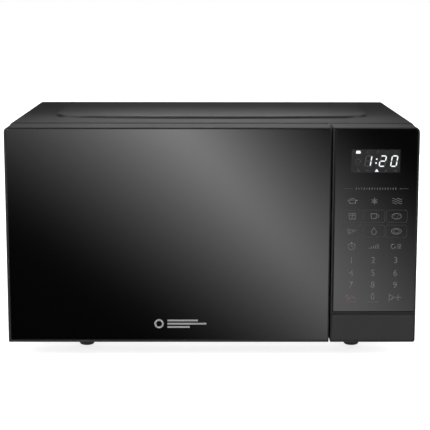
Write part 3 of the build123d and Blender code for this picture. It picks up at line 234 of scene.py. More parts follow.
PAINT = powder_paint()
CASE_PLASTIC = grained_plastic("case_plastic", 0.010, 0.018)
BUTTON_PLASTIC = grained_plastic("button_plastic", 0.012, 0.021, (0.46, 0.60), 1100.0, 0.00008)
BLACK_PLASTIC = grained_plastic("black_plastic", 0.010, 0.018)
GREY_PLASTIC = grained_plastic("grey_plastic", 0.16, 0.22)
WHITE_PLASTIC = grained_plastic("white_plastic", 0.62, 0.70, (0.32, 0.45), 500.0, 0.00003)
RUBBER = grained_plastic("foot_rubber", 0.012, 0.022, (0.65, 0.85), 700.0, 0.0001)
DOOR_GLASS = mirror_black("door_glass_black", 0.0003)
PANEL_GLOSS = mirror_black("panel_gloss_black", 0.0004)
ENAMEL = enamel()
ZINC = zinc()
STEEL = metal("screw_steel", 0.30, 0.45)
ALUMINIUM = metal("aluminium", 0.55, 0.72, (0.3, 0.45), (1, 1, 12))
COPPER = metal("copper", (0.55, 0.24, 0.12), (0.75, 0.38, 0.2))
CORE_IRON = metal("core_iron", 0.06, 0.12, (0.45, 0.6), (1, 40, 1), 200.0, 0.7)
WINDING = metal("winding", (0.30, 0.10, 0.03), (0.55, 0.22, 0.07), (0.25, 0.4), (1, 1, 30), 150.0, 0.6)
TAPE = grained_plastic("coil_tape", (0.40, 0.28, 0.04), (0.52, 0.38, 0.07), (0.25, 0.35))
BOARD = grained_plastic("circuit_board", (0.24, 0.17, 0.06), (0.32, 0.23, 0.09), (0.3, 0.45), 600.0)
COMPONENT = grained_plastic("component", (0.012, 0.02, 0.05), (0.02, 0.035, 0.08), (0.3, 0.4))
MICA = grained_plastic("mica", (0.30, 0.25, 0.17), (0.42, 0.36, 0.26), (0.5, 0.6), 260.0)
TRAY_GLASS = clear_glass("tray_glass", (0.93, 0.98, 0.96))
CLEAR_FILM = clear_glass("clear_film", (0.97, 0.97, 0.97), 0.05)
LAMP_GLASS = clear_glass("lamp_glass", (0.98, 0.96, 0.9))
DISPLAY_FILM = grained_plastic("display_film", 0.011, 0.014, (0.10, 0.16), 220.0, 0.00001)
LIT_WHITE = lit_segment("lit_segment_white", (0.93, 0.97, 1.0), 1.15)
GHOST_INK = grained_plastic("ghost_ink", 0.028, 0.036, (0.2, 0.3), 300.0, 0.00001)
PRINT_INK = grained_plastic("print_ink", 0.078, 0.098, (0.35, 0.45), 900.0, 0.00001)
FAINT_INK = grained_plastic("faint_ink", 0.030, 0.040, (0.3, 0.4), 900.0, 0.00001)
STOP_INK = grained_plastic(
    "stop_ink", (0.105, 0.058, 0.058), (0.125, 0.070, 0.070), (0.35, 0.45), 900.0, 0.00001
)
MARK_INK = grained_plastic("mark_ink", 0.20, 0.24, (0.35, 0.45), 900.0, 0.00001)
SCREEN_PAINT = grained_plastic("screen_paint", 0.028, 0.040, (0.35, 0.5), 700.0, 0.00002)
# Near-black finish of the sheet behind the screen's holes: painted shade for the dark space seen through
# them.
PAINTED_SHADE_BLACK = grained_plastic("painted_shade_black", 0.002, 0.004, (0.5, 0.6), 300.0, 0.00001)

FINISH = {
    "painted_case": PAINT, "zinc_sheet": ZINC, "screw_steel": STEEL, "black_plastic": BLACK_PLASTIC,
    "rubber_foot": RUBBER, "cavity_enamel": ENAMEL, "mica": MICA, "copper": COPPER,
    "aluminium_fin": ALUMINIUM, "core_iron": CORE_IRON, "winding": WINDING, "aluminium_can": ALUMINIUM,
    "grey_plastic": GREY_PLASTIC, "coil_tape": TAPE, "lamp_glass": LAMP_GLASS, "circuit_board": BOARD,
    "component": COMPONENT, "white_plastic": WHITE_PLASTIC, "tray_glass": TRAY_GLASS,
    "mirror_glass": DOOR_GLASS, "door_plastic": CASE_PLASTIC, "clear_film": CLEAR_FILM,
    "spring_steel": STEEL, "button_plastic": BUTTON_PLASTIC, "panel_gloss": PANEL_GLOSS,
    "membrane": GREY_PLASTIC, "display": BLACK_PLASTIC,
}


# Nodes made of turned or rounded shapes, which are shaded smooth up to this angle.
ROUND_ANGLE = 28
ROUND_NODES = {
    "feet", "rear_spacers", "glass_tray", "roller_ring", "roller_1", "roller_2", "roller_3",
    "turntable_coupler", "oven_lamp", "latch_spring", "button_spring", "fan_blade", "cord_gland",
    "case_screws", "magnetron_anode", "hv_capacitor", "hv_diode", "motor_access_cover",
    "turntable_motor",
}


def finish_cad_nodes():
    """Gives every CAD node the finish of its slot in the record, and smooth shading across its rounds."""
    slots = {part["node"]: part["material_slot"] for part in frame["record"]["subparts"]}
    for name, node in NODES.items():
        node.data.materials.clear()
        node.data.materials.append(FINISH[slots[name]])
        if name in ROUND_NODES:
            node.data.shade_smooth()
            node.data.set_sharp_from_angle(angle=radians(ROUND_ANGLE))


# ---- thin raised marks on the front --------------------------------------------------------------

# Marks that cross one another stand proud by slightly different amounts, in millimetres, in turn.
LAYERS = 7
LAYER_STEP = 0.004
MARK_SUNK = 0.02
FONT_SIZE_PER_HEIGHT = 1.38
# How far a mitre may reach, as the least cosine of half the turn, and how arcs are divided.
MITRE_LEAST = 0.45
ARC_STEP = 15
CORNER_STEPS = 4


class Marks:
    """Thin raised marks on a front face: outlines in x and z, in millimetres, made into one mesh."""

    def __init__(self, thick=0.10):
        self.mesh = bmesh.new()
        self.thick = thick
        self.count = 0
        self.centre = Vector((0.0, 0.0))
        self.scale = 1.0

    def about(self, x, z, scale):
        """What is drawn next is enlarged about this point."""
        self.centre = Vector((x, z))
        self.scale = scale

    def pair(self, x, z):
        """A vertex at the mark's front and one just inside the face behind it."""
        proud = self.thick + LAYER_STEP * (self.count % LAYERS)
        x, z = self.centre + (Vector((x, z)) - self.centre) * self.scale
        return (
            self.mesh.verts.new((x * MM, FRONT_Y - proud * MM, z * MM)),
            self.mesh.verts.new((x * MM, FRONT_Y + MARK_SUNK * MM, z * MM)),
        )

    def wall(self, first, second):
        self.mesh.faces.new((first[0], second[0], second[1], first[1]))

    def shape(self, outline):
        """A filled outline, with sides down to the face. Marks that cross lie in different layers."""
        self.count += 1
        edge = [self.pair(x, z) for x, z in outline]
        self.mesh.faces.new([front for front, back in edge])
        for first, second in zip(edge, edge[1:] + edge[:1]):
            self.wall(first, second)

    def stroke(self, points, width=0.5, closed=False):
        """A line of one width through the points, with mitred corners."""
        self.count += 1
        points = [Vector(p) for p in points]
        last = len(points) - 1
        rails = []
        for i, point in enumerate(points):
            arriving = (point - points[i - 1]).normalized() if closed or i > 0 else None
            leaving = (points[(i + 1) % len(points)] - point).normalized() if closed or i < last else None
            heading = ((arriving or leaving) + (leaving or arriving)).normalized()
            reach = width / 2 / max(MITRE_LEAST, heading.dot(leaving or arriving))
            side = Vector((-heading.y, heading.x)) * reach
            rails.append((self.pair(*(point + side)), self.pair(*(point - side))))
        for i in range(len(points) if closed else last):
            (left, right), (next_left, next_right) = rails[i], rails[(i + 1) % len(points)]
            self.mesh.faces.new((left[0], next_left[0], next_right[0], right[0]))
            self.wall(left, next_left)
            self.wall(right, next_right)
        if not closed:
            self.wall(*rails[0])
            self.wall(*rails[-1])

    def disc(self, x, z, radius, sides=20):
        turns = [2 * pi * k / sides for k in range(sides)]
        self.shape([(x + radius * cos(t), z + radius * sin(t)) for t in turns])

    def ring(self, x, z, radius, width=0.5, start=0.0, sweep=360.0, squash=1.0):
        """A circle, ellipse or arc of one line width; angles in degrees from +x towards +z."""
        steps = max(6, int(sweep / ARC_STEP))
        count = steps if sweep >= 360 else steps + 1
        turns = [radians(start + sweep * k / steps) for k in range(count)]
        points = [(x + radius * cos(t), z + radius * squash * sin(t)) for t in turns]
        self.stroke(points, width, closed=sweep >= 360)

    def frame(self, x, z, corner, width):
        """A rounded rectangle of one line width."""
        points = []
        for cx, cz, start in ((x[1], z[1], 0), (x[0], z[1], 90), (x[0], z[0], 180), (x[1], z[0], 270)):
            sx, sz = (-corner if cx == x[1] else corner), (-corner if cz == z[1] else corner)
            for k in range(CORNER_STEPS + 1):
                t = radians(start + 90 * k / CORNER_STEPS)
                points.append((cx + sx + corner * cos(t), cz + sz + corner * sin(t)))
        self.stroke(points, width, closed=True)

    def numeral(self, digit, x, z, height):
        """A plain printed numeral, centred on x and z."""
        curve = bpy.data.curves.new("numeral", "FONT")
        curve.body = str(digit)
        curve.size = height * FONT_SIZE_PER_HEIGHT
        curve.align_x = "CENTER"
        curve.align_y = "CENTER"
        holder = bpy.data.objects.new("numeral", curve)
        bpy.context.collection.objects.link(holder)
        bpy.context.view_layer.update()
        flat = bpy.data.meshes.new_from_object(holder.evaluated_get(bpy.context.evaluated_depsgraph_get()))
        middle = [(min(c) + max(c)) / 2 for c in zip(*(v.co for v in flat.vertices))]
        face_y = FRONT_Y - self.thick * MM
        dx, dz = x - middle[0], z - middle[1]
        at = [self.mesh.verts.new(((v.co.x + dx) * MM, face_y, (v.co.y + dz) * MM)) for v in flat.vertices]
        for polygon in flat.polygons:
            self.mesh.faces.new([at[i] for i in polygon.vertices])
        bpy.data.objects.remove(holder)
        bpy.data.curves.remove(curve)
        bpy.data.meshes.remove(flat)

    def piece(self, name, material, body, slot_name):
        bmesh.ops.recalc_face_normals(self.mesh, faces=self.mesh.faces)
        return add_piece(name, self.mesh, material, body)


def add_piece(name, mesh, material, body):
    """Turns a bmesh into an object that rides on a body."""
    data = bpy.data.meshes.new(name)
    mesh.to_mesh(data)
    mesh.free()
    data.materials.append(material)
    piece = bpy.data.objects.new(name, data)
    bpy.context.collection.objects.link(piece)
    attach(piece, body)
    return piece


# ---- clock display -------------------------------------------------------------------------------

# Each segment of a digit as (start, end) on a grid one wide and two high.
SEGMENTS = {
    "top": ((0, 2), (1, 2)), "middle": ((0, 1), (1, 1)), "bottom": ((0, 0), (1, 0)),
    "upper_left": ((0, 1), (0, 2)), "upper_right": ((1, 1), (1, 2)),
    "lower_left": ((0, 0), (0, 1)), "lower_right": ((1, 0), (1, 1)),
}
LIT = {
    "0": ("top", "bottom", "upper_left", "upper_right", "lower_left", "lower_right"),
    "1": ("upper_right", "lower_right"),
    "2": ("top", "middle", "bottom", "upper_right", "lower_left"),
}
DIGIT_WIDTH = 5.9
DIGIT_HEIGHT = 11.0
DIGIT_SLANT = 0.16
DIGIT_LINE = 1.25
SEGMENT_GAP = 0.25
ACROSS_GAP = 0.1
DIGIT_Z = CLOCK_FOOT + 7.2
DIGITS = (("1", CLOCK_LEFT + 14.5), ("2", CLOCK_LEFT + 29.8), ("0", CLOCK_LEFT + 42.0))
COLON_X = CLOCK_LEFT + 26.0
COLON_UPS = (3.4, 7.6)
COLON_RADIUS = 0.85
# The clock's window, inside the module's own outline.
CLOCK_EDGE = 0.4
CLOCK_RIGHT_EDGE = 1.8
# The lit marker and the lit lock icon, from the module's lower left.
MARKER = ((25.4, 1.3), (29.6, 1.3), (27.5, 4.5))
LOCK = ((5.2, 20.6), (9.8, 20.6), (10.2, 22.4), (9.2, 23.8), (6.2, 23.8), (5.2, 23.0))
# The unlit icons, from there too: a row of small rings, one larger ring, and a row of small triangles.
SMALL_RINGS = tuple((8.8 + 9.6 * k, 22.2) for k in range(5))
SMALL_RING_RADIUS = 1.3
LARGE_RING = (7.6, 12.2)
LARGE_RING_RADIUS = 2.6
TRIANGLES = tuple((8.0 + 9.8 * k, 1.7) for k in (0, 1, 3, 4))
TRIANGLE_HALF = 1.5
TRIANGLE_HEIGHT = 2.3


def segment_outline(segment, x, z):
    """A segment's six-sided outline: pointed at both ends and slanted with its digit."""
    (u0, v0), (u1, v1) = SEGMENTS[segment]
    across = v0 == v1
    start = Vector((u0 * DIGIT_WIDTH, v0 * DIGIT_HEIGHT / 2))
    end = Vector((u1 * DIGIT_WIDTH, v1 * DIGIT_HEIGHT / 2))
    along = (end - start).normalized()
    side = Vector((-along.y, along.x)) * DIGIT_LINE / 2
    gap = along * (SEGMENT_GAP + (ACROSS_GAP if across else 0.0))
    shoulder = along * DIGIT_LINE / 2
    start, end = start + gap, end - gap
    near, far = start + shoulder, end - shoulder
    outline = [start, near - side, far - side, end, far + side, near + side]
    return [(x + p.x + p.y * DIGIT_SLANT, z + p.y) for p in outline]


def clock_display():
    """The clock's dim window, its ghost segments, and what is lit: digits, colon, lock icon, marker."""
    x = (CLOCK_LEFT + CLOCK_EDGE, CLOCK_RIGHT - CLOCK_RIGHT_EDGE)
    z = (CLOCK_FOOT + CLOCK_EDGE, CLOCK_HEAD - CLOCK_EDGE)
    window = Marks(0.04)
    window.shape([(x[0], z[0]), (x[1], z[0]), (x[1], z[1]), (x[0], z[1])])
    window.piece("display_window", DISPLAY_FILM, "chassis", "display")

    lit, ghost = Marks(0.09), Marks(0.07)
    for digit, left in DIGITS:
        for segment in SEGMENTS:
            layer = lit if segment in LIT[digit] else ghost
            layer.shape(segment_outline(segment, left, DIGIT_Z))
    for up in COLON_UPS:
        lit.disc(COLON_X + up * DIGIT_SLANT, DIGIT_Z + up, COLON_RADIUS)
    for outline in (MARKER, LOCK):
        lit.shape([(CLOCK_LEFT + across, CLOCK_FOOT + up) for across, up in outline])
    for across, up in SMALL_RINGS:
        ghost.ring(CLOCK_LEFT + across, CLOCK_FOOT + up, SMALL_RING_RADIUS, 0.35)
    ghost.ring(CLOCK_LEFT + LARGE_RING[0], CLOCK_FOOT + LARGE_RING[1], LARGE_RING_RADIUS, 0.5)
    for across, up in TRIANGLES:
        middle, foot = CLOCK_LEFT + across, CLOCK_FOOT + up
        corners = [(middle - TRIANGLE_HALF, foot), (middle + TRIANGLE_HALF, foot)]
        ghost.shape([*corners, (middle, foot + TRIANGLE_HEIGHT)])
    lit.piece("display_lit_segments", LIT_WHITE, "chassis", "display")
    ghost.piece("display_ghost_segments", GHOST_INK, "chassis", "display")


# ---- keys ----------------------------------------------------------------------------------------

COLUMNS = tuple(PANEL_LEFT + across for across in (18.9, 42.4, 66.4))
PICTOGRAM_ROWS = tuple(PANEL_FOOT + up for up in (120.6, 104.3, 88.0, 71.6))
NUMERAL_ROWS = tuple(PANEL_FOOT + up for up in (56.6, 42.6, 29.5))
LAST_ROW = PANEL_FOOT + 15.9
PICTOGRAM_SCALE = 1.2
START_SCALE = 1.3
NUMERAL_HEIGHT = 7.0
ZERO_HEIGHT = 6.6
# The heading: a row of ticks of three heights between two rules.
HEADING_Z = PANEL_FOOT + 134.0
HEADING_RULES = ((9.8, 18.8), (68.8, 78.2))
TICKS_LEFT = PANEL_LEFT + 22.8
TICK_PITCH = 2.8
TICK_COUNT = 16
TICK_HALVES = (1.2, 0.8, 1.0)
# The faint outlines round the keys of the second and third rows.
KEY_HALF = (11.2, 6.6)
KEY_CORNER = 2.0
INK_LINE = 0.55


def pot(ink, x, z):
    bowl = [(x - 3.2, z + 1.0), (x - 2.6, z - 2.0), (x + 2.6, z - 2.0), (x + 3.2, z + 1.0)]
    ink.stroke(bowl, INK_LINE, closed=True)
    ink.stroke([(x - 4.6, z + 0.6), (x - 3.4, z + 0.6)], INK_LINE)
    ink.stroke([(x + 3.4, z + 0.6), (x + 4.6, z + 0.6)], INK_LINE)
    ink.stroke([(x - 2.0, z + 2.2), (x + 2.0, z + 2.2)], INK_LINE)


def flake(ink, x, z):
    for k in range(3):
        t = radians(30 + 60 * k)
        ink.stroke([(x - 3.1 * cos(t), z - 3.1 * sin(t)), (x + 3.1 * cos(t), z + 3.1 * sin(t))], INK_LINE)
    ink.ring(x, z, 1.5, 0.4)


def waves(ink, x, z):
    for level in (-1.9, 0.0, 1.9):
        ink.stroke([(x - 4.4 + 0.55 * k, z + level + 0.55 * sin(k * 0.8)) for k in range(17)], 0.45)


def sack(ink, x, z):
    side = [(x - 2.4, z - 2.6), (x + 2.4, z - 2.6), (x + 3.0, z + 1.0), (x - 3.0, z + 1.0)]
    ink.stroke(side, INK_LINE, closed=True)
    for k in range(4):
        ink.ring(x - 2.4 + 1.6 * k, z + 1.9, 0.8, 0.4, 0, 180)
    ink.stroke([(x, z - 2.4), (x, z + 0.8)], 0.35)


def cup(ink, x, z):
    side = [(x - 3.0, z + 2.2), (x - 2.2, z - 2.2), (x + 1.6, z - 2.2), (x + 2.4, z + 2.2)]
    ink.stroke(side, INK_LINE, closed=True)
    ink.ring(x + 2.6, z + 0.2, 1.5, 0.45, -80, 160)


def tuber(ink, x, z):
    ink.ring(x, z, 4.2, INK_LINE, squash=0.58)
    for dx, dz in ((-1.8, 0.5), (0.6, -0.8), (1.9, 0.7)):
        ink.disc(x + dx, z + dz, 0.35, 8)


def slice_of_pie(ink, x, z):
    ink.stroke([(x - 4.0, z + 1.6), (x + 3.8, z + 0.9), (x - 3.0, z - 2.4)], INK_LINE, closed=True)
    ink.disc(x - 1.8, z + 0.2, 0.55, 10)
    ink.disc(x + 0.6, z + 0.4, 0.45, 10)


def dish(ink, x, z):
    ink.ring(x, z, 4.4, INK_LINE, squash=0.6)
    ink.ring(x, z, 2.6, 0.4, squash=0.6)


def drop(ink, x, z):
    ink.ring(x, z - 0.6, 2.2, INK_LINE, 130, 280)
    ink.stroke([(x - 1.4, z + 1.1), (x, z + 3.2), (x + 1.4, z + 1.1)], INK_LINE)


def timer(ink, x, z):
    ink.ring(x, z, 3.0, INK_LINE)
    ink.stroke([(x, z + 1.9), (x, z), (x + 1.5, z - 0.8)], 0.45)
    ink.stroke([(x, z + 3.2), (x, z + 4.0)], 0.7)


def power_bars(ink, x, z):
    for k in range(5):
        ink.stroke([(x - 4.0 + 2.0 * k, z - 2.2), (x - 4.0 + 2.0 * k, z - 1.4 + 0.9 * k)], 0.8)


def two_arcs(ink, x, z):
    ink.ring(x - 2.4, z, 2.0, INK_LINE, 60, 300)
    ink.stroke([(x + 1.0, z + 1.6), (x + 4.6, z + 1.6)], INK_LINE)
    ink.stroke([(x + 1.0, z), (x + 4.6, z)], INK_LINE)
    ink.stroke([(x + 1.0, z - 1.6), (x + 4.6, z - 1.6)], INK_LINE)


PICTOGRAMS = (
    (pot, flake, waves),
    (sack, cup, tuber),
    (slice_of_pie, drop, dish),
    (timer, power_bars, two_arcs),
)


def key_legends():
    """The printed keys: pictograms in the four upper rows, numerals, and stop and start symbols below."""
    ink, faint = Marks(0.06), Marks(0.05)
    for row, z in zip(PICTOGRAMS, PICTOGRAM_ROWS):
        for draw, x in zip(row, COLUMNS):
            ink.about(x, z, PICTOGRAM_SCALE)
            draw(ink, x, z)
    ink.about(0, 0, 1)
    for row, z in enumerate(NUMERAL_ROWS):
        for column, x in enumerate(COLUMNS):
            ink.numeral(1 + 3 * row + column, x, z, NUMERAL_HEIGHT)
    ink.numeral(0, COLUMNS[1], LAST_ROW + 0.6, ZERO_HEIGHT)
    ink.stroke([(COLUMNS[1] - 5.5, LAST_ROW - 5.2), (COLUMNS[1] + 5.5, LAST_ROW - 5.2)], 0.5)
    x = COLUMNS[2]
    ink.about(x, LAST_ROW, START_SCALE)
    triangle = [(x - 4.6, LAST_ROW + 2.4), (x - 4.6, LAST_ROW - 2.8), (x - 0.6, LAST_ROW - 0.2)]
    ink.stroke(triangle, 0.6, closed=True)
    ink.stroke([(x + 2.8, LAST_ROW + 2.4), (x + 2.8, LAST_ROW - 2.8)], 0.6)
    ink.stroke([(x + 0.4, LAST_ROW - 0.2), (x + 5.2, LAST_ROW - 0.2)], 0.6)
    ink.about(0, 0, 1)
    for start, end in HEADING_RULES:
        faint.stroke([(PANEL_LEFT + start, HEADING_Z), (PANEL_LEFT + end, HEADING_Z)], 0.6)
    for k in range(TICK_COUNT):
        x, half = TICKS_LEFT + TICK_PITCH * k, TICK_HALVES[k % len(TICK_HALVES)]
        ink.stroke([(x, HEADING_Z - half), (x, HEADING_Z + half)], 0.8)
    half_x, half_z = KEY_HALF
    for z in PICTOGRAM_ROWS[1:3]:
        for x in COLUMNS:
            faint.frame((x - half_x, x + half_x), (z - half_z, z + half_z), KEY_CORNER, 0.3)
    ink.piece("key_legends", PRINT_INK, "chassis", "panel_gloss")
    faint.piece("key_outlines", FAINT_INK, "chassis", "panel_gloss")

    stop = Marks(0.06)
    x = COLUMNS[0]
    stop.ring(x - 2.6, LAST_ROW - 0.2, 2.7, 0.6)
    stop.stroke([(x - 4.4, LAST_ROW + 1.6), (x - 0.8, LAST_ROW - 2.0)], 0.55)
    for across in (2.6, 4.8):
        stop.stroke([(x + across, LAST_ROW + 1.9), (x + across, LAST_ROW - 2.3)], 0.7)
    stop.stroke([(x - 5.0, LAST_ROW - 5.2), (x + 5.6, LAST_ROW - 5.2)], 0.5)
    stop.piece("stop_legend", STOP_INK, "chassis", "panel_gloss")


# ---- generic mark on the door glass --------------------------------------------------------------

MARK_X = (GLASS_LEFT + 155.4, GLASS_LEFT + 211.4)
MARK_Z = GLASS_FOOT + 18.2
MARK_LINE = 1.9


def door_mark():
    """A plain printed mark low on the door: a ring and three bars, no lettering."""
    mark = Marks(0.08)
    mark.ring(MARK_X[0] + 5.0, MARK_Z, 4.1, MARK_LINE)
    left = MARK_X[0] + 14.0
    for level, right in ((3.6, MARK_X[1] - 9.0), (0.0, MARK_X[1]), (-3.6, MARK_X[1] - 18.0)):
        mark.stroke([(left, MARK_Z + level), (right, MARK_Z + level)], MARK_LINE)
    mark.piece("door_mark", MARK_INK, "door", "mirror_glass")


# ---- perforated screen in the door's window ------------------------------------------------------

HOLE_PITCH = 3.4 * MM
HOLE_RADIUS = 1.15 * MM
SCREEN_MARGIN = 12 * MM
SCREEN_CLEAR = 0.02 * MM
SCREEN_THICK = 0.03 * MM
HOLE_SIDES = 8
# The black sheet behind the holes is painted shade for the darkness seen through them: how far behind the
# screen it lies, and how finely it is divided.
SHADE_SHEET_DEPTH = 1.6 * SCREEN_THICK
SHADE_SHEET_STEPS = 12


def window_screen():
    """The punched steel screen seen through the inner window, with a black sheet behind its holes as painted
    shade for the dark space seen through them.
    """
    left, right = WINDOW_LOW.x + SCREEN_MARGIN, WINDOW_HIGH.x - SCREEN_MARGIN
    bottom, top = WINDOW_LOW.z + SCREEN_MARGIN, WINDOW_HIGH.z - SCREEN_MARGIN
    columns, rows = int((right - left) / HOLE_PITCH), int((top - bottom) / HOLE_PITCH)
    x0 = (left + right - columns * HOLE_PITCH) / 2
    z0 = (bottom + top - rows * HOLE_PITCH) / 2
    face_y = WINDOW_LOW.y - SCREEN_CLEAR
    sheet = bmesh.new()
    corners = {}

    def corner(i, j):
        """A vertex of the cell grid: whole steps are cell corners, half steps the middles of cell sides."""
        if (i, j) not in corners:
            corners[i, j] = sheet.verts.new((x0 + i * HOLE_PITCH / 2, face_y, z0 + j * HOLE_PITCH / 2))
        return corners[i, j]

    around = [(2, 1), (2, 2), (1, 2), (0, 2), (0, 1), (0, 0), (1, 0), (2, 0)]
    for column in range(columns):
        for row in range(rows):
            cx, cz = x0 + (column + 0.5) * HOLE_PITCH, z0 + (row + 0.5) * HOLE_PITCH
            rim, sunk = [], []
            for k in range(HOLE_SIDES):
                turn = 2 * pi * k / HOLE_SIDES
                x, z = cx + HOLE_RADIUS * cos(turn), cz + HOLE_RADIUS * sin(turn)
                rim.append(sheet.verts.new((x, face_y, z)))
                sunk.append(sheet.verts.new((x, face_y - SCREEN_THICK, z)))
            edge = [corner(2 * column + i, 2 * row + j) for i, j in around]
            for k in range(HOLE_SIDES):
                j = (k + 1) % HOLE_SIDES
                sheet.faces.new((edge[k], edge[j], rim[j], rim[k]))
                sheet.faces.new((rim[k], rim[j], sunk[j], sunk[k]))
    add_piece("window_screen", sheet, SCREEN_PAINT, "door")

    # A black sheet behind the holes, as painted shade for the dark space seen through them.
    dark = bmesh.new()
    shade_sheet_y = face_y - SHADE_SHEET_DEPTH
    width, height = columns * HOLE_PITCH, rows * HOLE_PITCH
    grid = []
    for i in range(SHADE_SHEET_STEPS + 1):
        x = x0 + width * i / SHADE_SHEET_STEPS
        levels = [z0 + height * j / SHADE_SHEET_STEPS for j in range(SHADE_SHEET_STEPS + 1)]
        grid.append([dark.verts.new((x, shade_sheet_y, z)) for z in levels])
    for i in range(SHADE_SHEET_STEPS):
        for j in range(SHADE_SHEET_STEPS):
            dark.faces.new((grid[i][j], grid[i][j + 1], grid[i + 1][j + 1], grid[i + 1][j]))
    add_piece("window_screen_painted_shade", dark, PAINTED_SHADE_BLACK, "door")


# ---- stage ---------------------------------------------------------------------------------------

FLOOR_SIZE = 60.0

# Where the camera's eye is: off the middle, ahead of the front, and above the front's lower edge.
EYE_X = -2.6 * MM
EYE_BACK = 1408.5 * MM
EYE_UP = 379.8 * MM
# How it looks: down, to the right and tilted, in degrees, and its lens in millimetres.
EYE_PITCH = 9.665
EYE_YAW = 0.239
EYE_ROLL = -0.065
EYE_LENS = 112.27

# The soft slanting band that the front glass reflects, as tones on the front's face per metre.
BAND_TOP = 0.225
BAND_MIDDLE = -0.030
BAND_LEAN = 0.889
BAND_SOFT = 0.025
BAND_LEFT = 1.61
BAND_RIGHT = 2.67
BAND_RIGHT_LESS = 6.7
BAND_RIGHT_LEAST = 1.0
BAND_PEAK = 0.466
BAND_PEAK_LESS = 0.745
BAND_TOE = 0.078
BAND_CAP = 0.6
BAND_LEVEL = 12.5
CURVE_SHIFT = 0.055
CURVE_POWER = 2.4
# The least slope towards the front that a reflected ray has, so that nothing is divided by zero.
LEAST_FORWARD = 0.02
# The faint light from above, by the height of the ray's direction.
CEILING_START = 0.3
CEILING_LEVEL = 0.03
# The fainter bands beyond the front's own zone. Angles are in radians.
BAND_ZONE = 0.30
SIDE_START = 0.20
SIDE_LEAN = 0.6
SIDE_SPACING = 0.22
SIDE_ONSET = 0.35
SIDE_LEVEL = 1.4
SIDE_TOP = 0.10
SIDE_FULL = -0.05


def stage():
    """A pale floor, a little bright of itself, that the gloss doesn't see."""
    bpy.ops.mesh.primitive_plane_add(size=FLOOR_SIZE, location=(0, 0, 0))
    floor = bpy.context.object
    floor.name = "studio_floor"
    g = Graph("studio_floor", roughness=0.9, emission_strength=0.75)
    g.link(g.ramp(g.noise(3.0), (0.3, 0.86), (0.7, 0.88)), "Base Color")
    g.set("emission_color", tone(1.0))
    floor.data.materials.append(g.material)
    floor.visible_glossy = False


def area_light(name, place, aim, size, power, spread=180.0, in_gloss=True):
    """A rectangular light at a place, aimed at a point, that the camera doesn't see."""
    light = bpy.data.lights.new(name, "AREA")
    light.shape = "RECTANGLE"
    light.size, light.size_y = size
    light.energy = power
    light.spread = radians(spread)
    holder = bpy.data.objects.new(name, light)
    holder.location = place
    holder.rotation_euler = (Vector(aim) - Vector(place)).to_track_quat("-Z", "Y").to_euler()
    holder.visible_camera = False
    holder.visible_glossy = in_gloss
    bpy.context.collection.objects.link(holder)


def lights():
    area_light("overhead_softbox", (0.0, -0.25, 1.1), (0, -0.12, 0.25), (0.9, 0.5), 0.5)
    area_light("left_softbox", (-1.6, -0.5, 0.9), (0, 0, 0.15), (1.0, 1.2), 6.0)
    area_light("right_softbox", (1.6, -0.3, 0.8), (0, 0, 0.15), (0.8, 1.2), 6.0)
    area_light("back_softbox", (0.5, 1.6, 0.08), (0, 0.15, 0.08), (1.2, 0.10), 12.0)
    area_light("top_strip", (0, -0.045, 0.350), (0, -0.045, 0.25), (0.30, 0.02), 1.6, in_gloss=False)
    area_light("lip_strip", (0, -0.048, 0.460), (0, -0.160, 0.25), (0.40, 0.02), 1.7, 80.0, in_gloss=False)


def front_band(w, axes):
    """The broad soft band before the front: a ridge of tones on the plane of the door's face."""
    calc = w.math
    ahead = calc("MULTIPLY", axes[1], -1.0)
    forward = calc("MAXIMUM", ahead, LEAST_FORWARD)
    across = calc("DIVIDE", axes[0], forward)
    up = calc("DIVIDE", axes[2], forward)
    # Where on the door's face a ray seen by the camera was reflected, from the slopes of the ray.
    place_x = calc("ADD", calc("MULTIPLY", across, EYE_BACK), EYE_X)
    place_z = calc("ADD", calc("MULTIPLY", up, EYE_BACK), EYE_UP)
    drop = calc("SUBTRACT", BAND_TOP, place_z)
    aside = calc("SUBTRACT", place_x, calc("ADD", calc("MULTIPLY", drop, BAND_LEAN), BAND_MIDDLE))
    bend = calc("SQRT", calc("ADD", calc("MULTIPLY", aside, aside), BAND_SOFT ** 2))
    soft = calc("SUBTRACT", bend, BAND_SOFT)
    right_slope = calc("SUBTRACT", BAND_RIGHT, calc("MULTIPLY", drop, BAND_RIGHT_LESS))
    right_slope = calc("MAXIMUM", right_slope, BAND_RIGHT_LEAST)
    is_right = calc("GREATER_THAN", aside, 0.0)
    slope = calc("ADD", calc("MULTIPLY", is_right, calc("SUBTRACT", right_slope, BAND_LEFT)), BAND_LEFT)
    peak = calc("SUBTRACT", BAND_PEAK, calc("MULTIPLY", drop, BAND_PEAK_LESS))
    tent = calc("SUBTRACT", peak, calc("MULTIPLY", soft, slope))
    toe = calc("SQRT", calc("ADD", calc("MULTIPLY", tent, tent), BAND_TOE ** 2))
    shown = calc("MINIMUM", calc("MULTIPLY", calc("ADD", tent, toe), 0.5), BAND_CAP)
    # A tone becomes light by the screen's own curve.
    light = calc("POWER", calc("DIVIDE", calc("ADD", shown, CURVE_SHIFT), 1.0 + CURVE_SHIFT), CURVE_POWER)
    band = calc("MULTIPLY", light, BAND_LEVEL)
    return calc("MULTIPLY", band, calc("GREATER_THAN", ahead, LEAST_FORWARD))


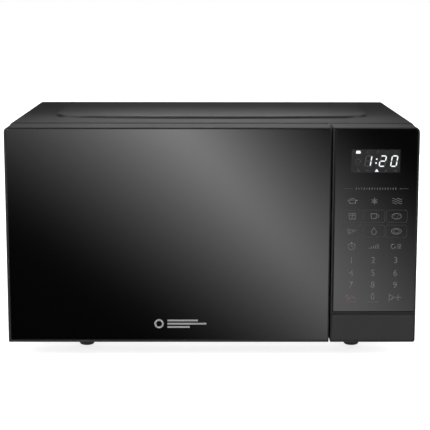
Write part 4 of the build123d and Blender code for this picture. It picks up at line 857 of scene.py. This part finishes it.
def side_bands(w, axes):
    """Fainter slanting bands low down on every other side, for whoever walks round the oven."""
    calc = w.math
    turn = calc("ARCTAN2", axes[0], calc("MULTIPLY", axes[1], -1.0))
    tilt = calc("ARCSINE", axes[2])
    beside = calc("SUBTRACT", calc("ABSOLUTE", turn), BAND_ZONE)
    beneath = calc("SUBTRACT", calc("MULTIPLY", tilt, -1.0), BAND_ZONE)
    onset = w.mapped(calc("MAXIMUM", beside, beneath), 0.0, SIDE_LEVEL, 0.0, SIDE_ONSET, "SMOOTHSTEP")
    downward = w.mapped(tilt, 0.0, 1.0, SIDE_TOP, SIDE_FULL)
    phase = calc("ADD", calc("ADD", turn, SIDE_START), calc("MULTIPLY", tilt, SIDE_LEAN))
    ripple = calc("POWER", calc("DIVIDE", calc("PINGPONG", phase, SIDE_SPACING), SIDE_SPACING), 2.0)
    return calc("MULTIPLY", calc("MULTIPLY", ripple, downward), onset)


def world():
    """White for the eye and for soft light; for gloss, a dark studio with soft slanting bands."""
    surround = bpy.data.worlds.new("studio")
    surround.use_nodes = True
    surround.node_tree.nodes.clear()
    bpy.context.scene.world = surround
    w = Tree(surround.node_tree)
    direction = w.node("ShaderNodeTexCoord").outputs["Generated"]
    axes = w.node("ShaderNodeSeparateXYZ", {0: direction}).outputs
    above = w.mapped(axes[2], 0.0, CEILING_LEVEL, CEILING_START, 1.0)
    gloss = w.math("ADD", w.math("ADD", front_band(w, axes), above), side_bands(w, axes))
    for_gloss = w.node("ShaderNodeBackground", {"Color": gloss, "Strength": 1.0}).outputs[0]
    for_rest = w.node("ShaderNodeBackground", {"Color": tone(1.0), "Strength": 1.0}).outputs[0]
    is_gloss = w.node("ShaderNodeLightPath").outputs["Is Glossy Ray"]
    mixed = w.node("ShaderNodeMixShader", {0: is_gloss, 1: for_rest, 2: for_gloss}).outputs[0]
    w.node("ShaderNodeOutputWorld", {"Surface": mixed})


def camera():
    data = bpy.data.cameras.new("camera")
    data.sensor_width = 36.0
    data.lens = EYE_LENS
    data.clip_end = 100.0
    holder = bpy.data.objects.new("camera", data)
    holder.location = (EYE_X, FRONT_Y - EYE_BACK, BASE_Z + EYE_UP)
    heading = Matrix.Rotation(-radians(EYE_YAW), 4, "Z")
    stoop = Matrix.Rotation(pi / 2 - radians(EYE_PITCH), 4, "X")
    cant = Matrix.Rotation(-radians(EYE_ROLL), 4, "Z")
    holder.rotation_euler = (heading @ stoop @ cant).to_euler()
    bpy.context.collection.objects.link(holder)
    bpy.context.scene.camera = holder


finish_cad_nodes()
clock_display()
key_legends()
door_mark()
window_screen()
stage()
lights()
world()
camera()
bpy.context.scene.view_settings.view_transform = "Standard"
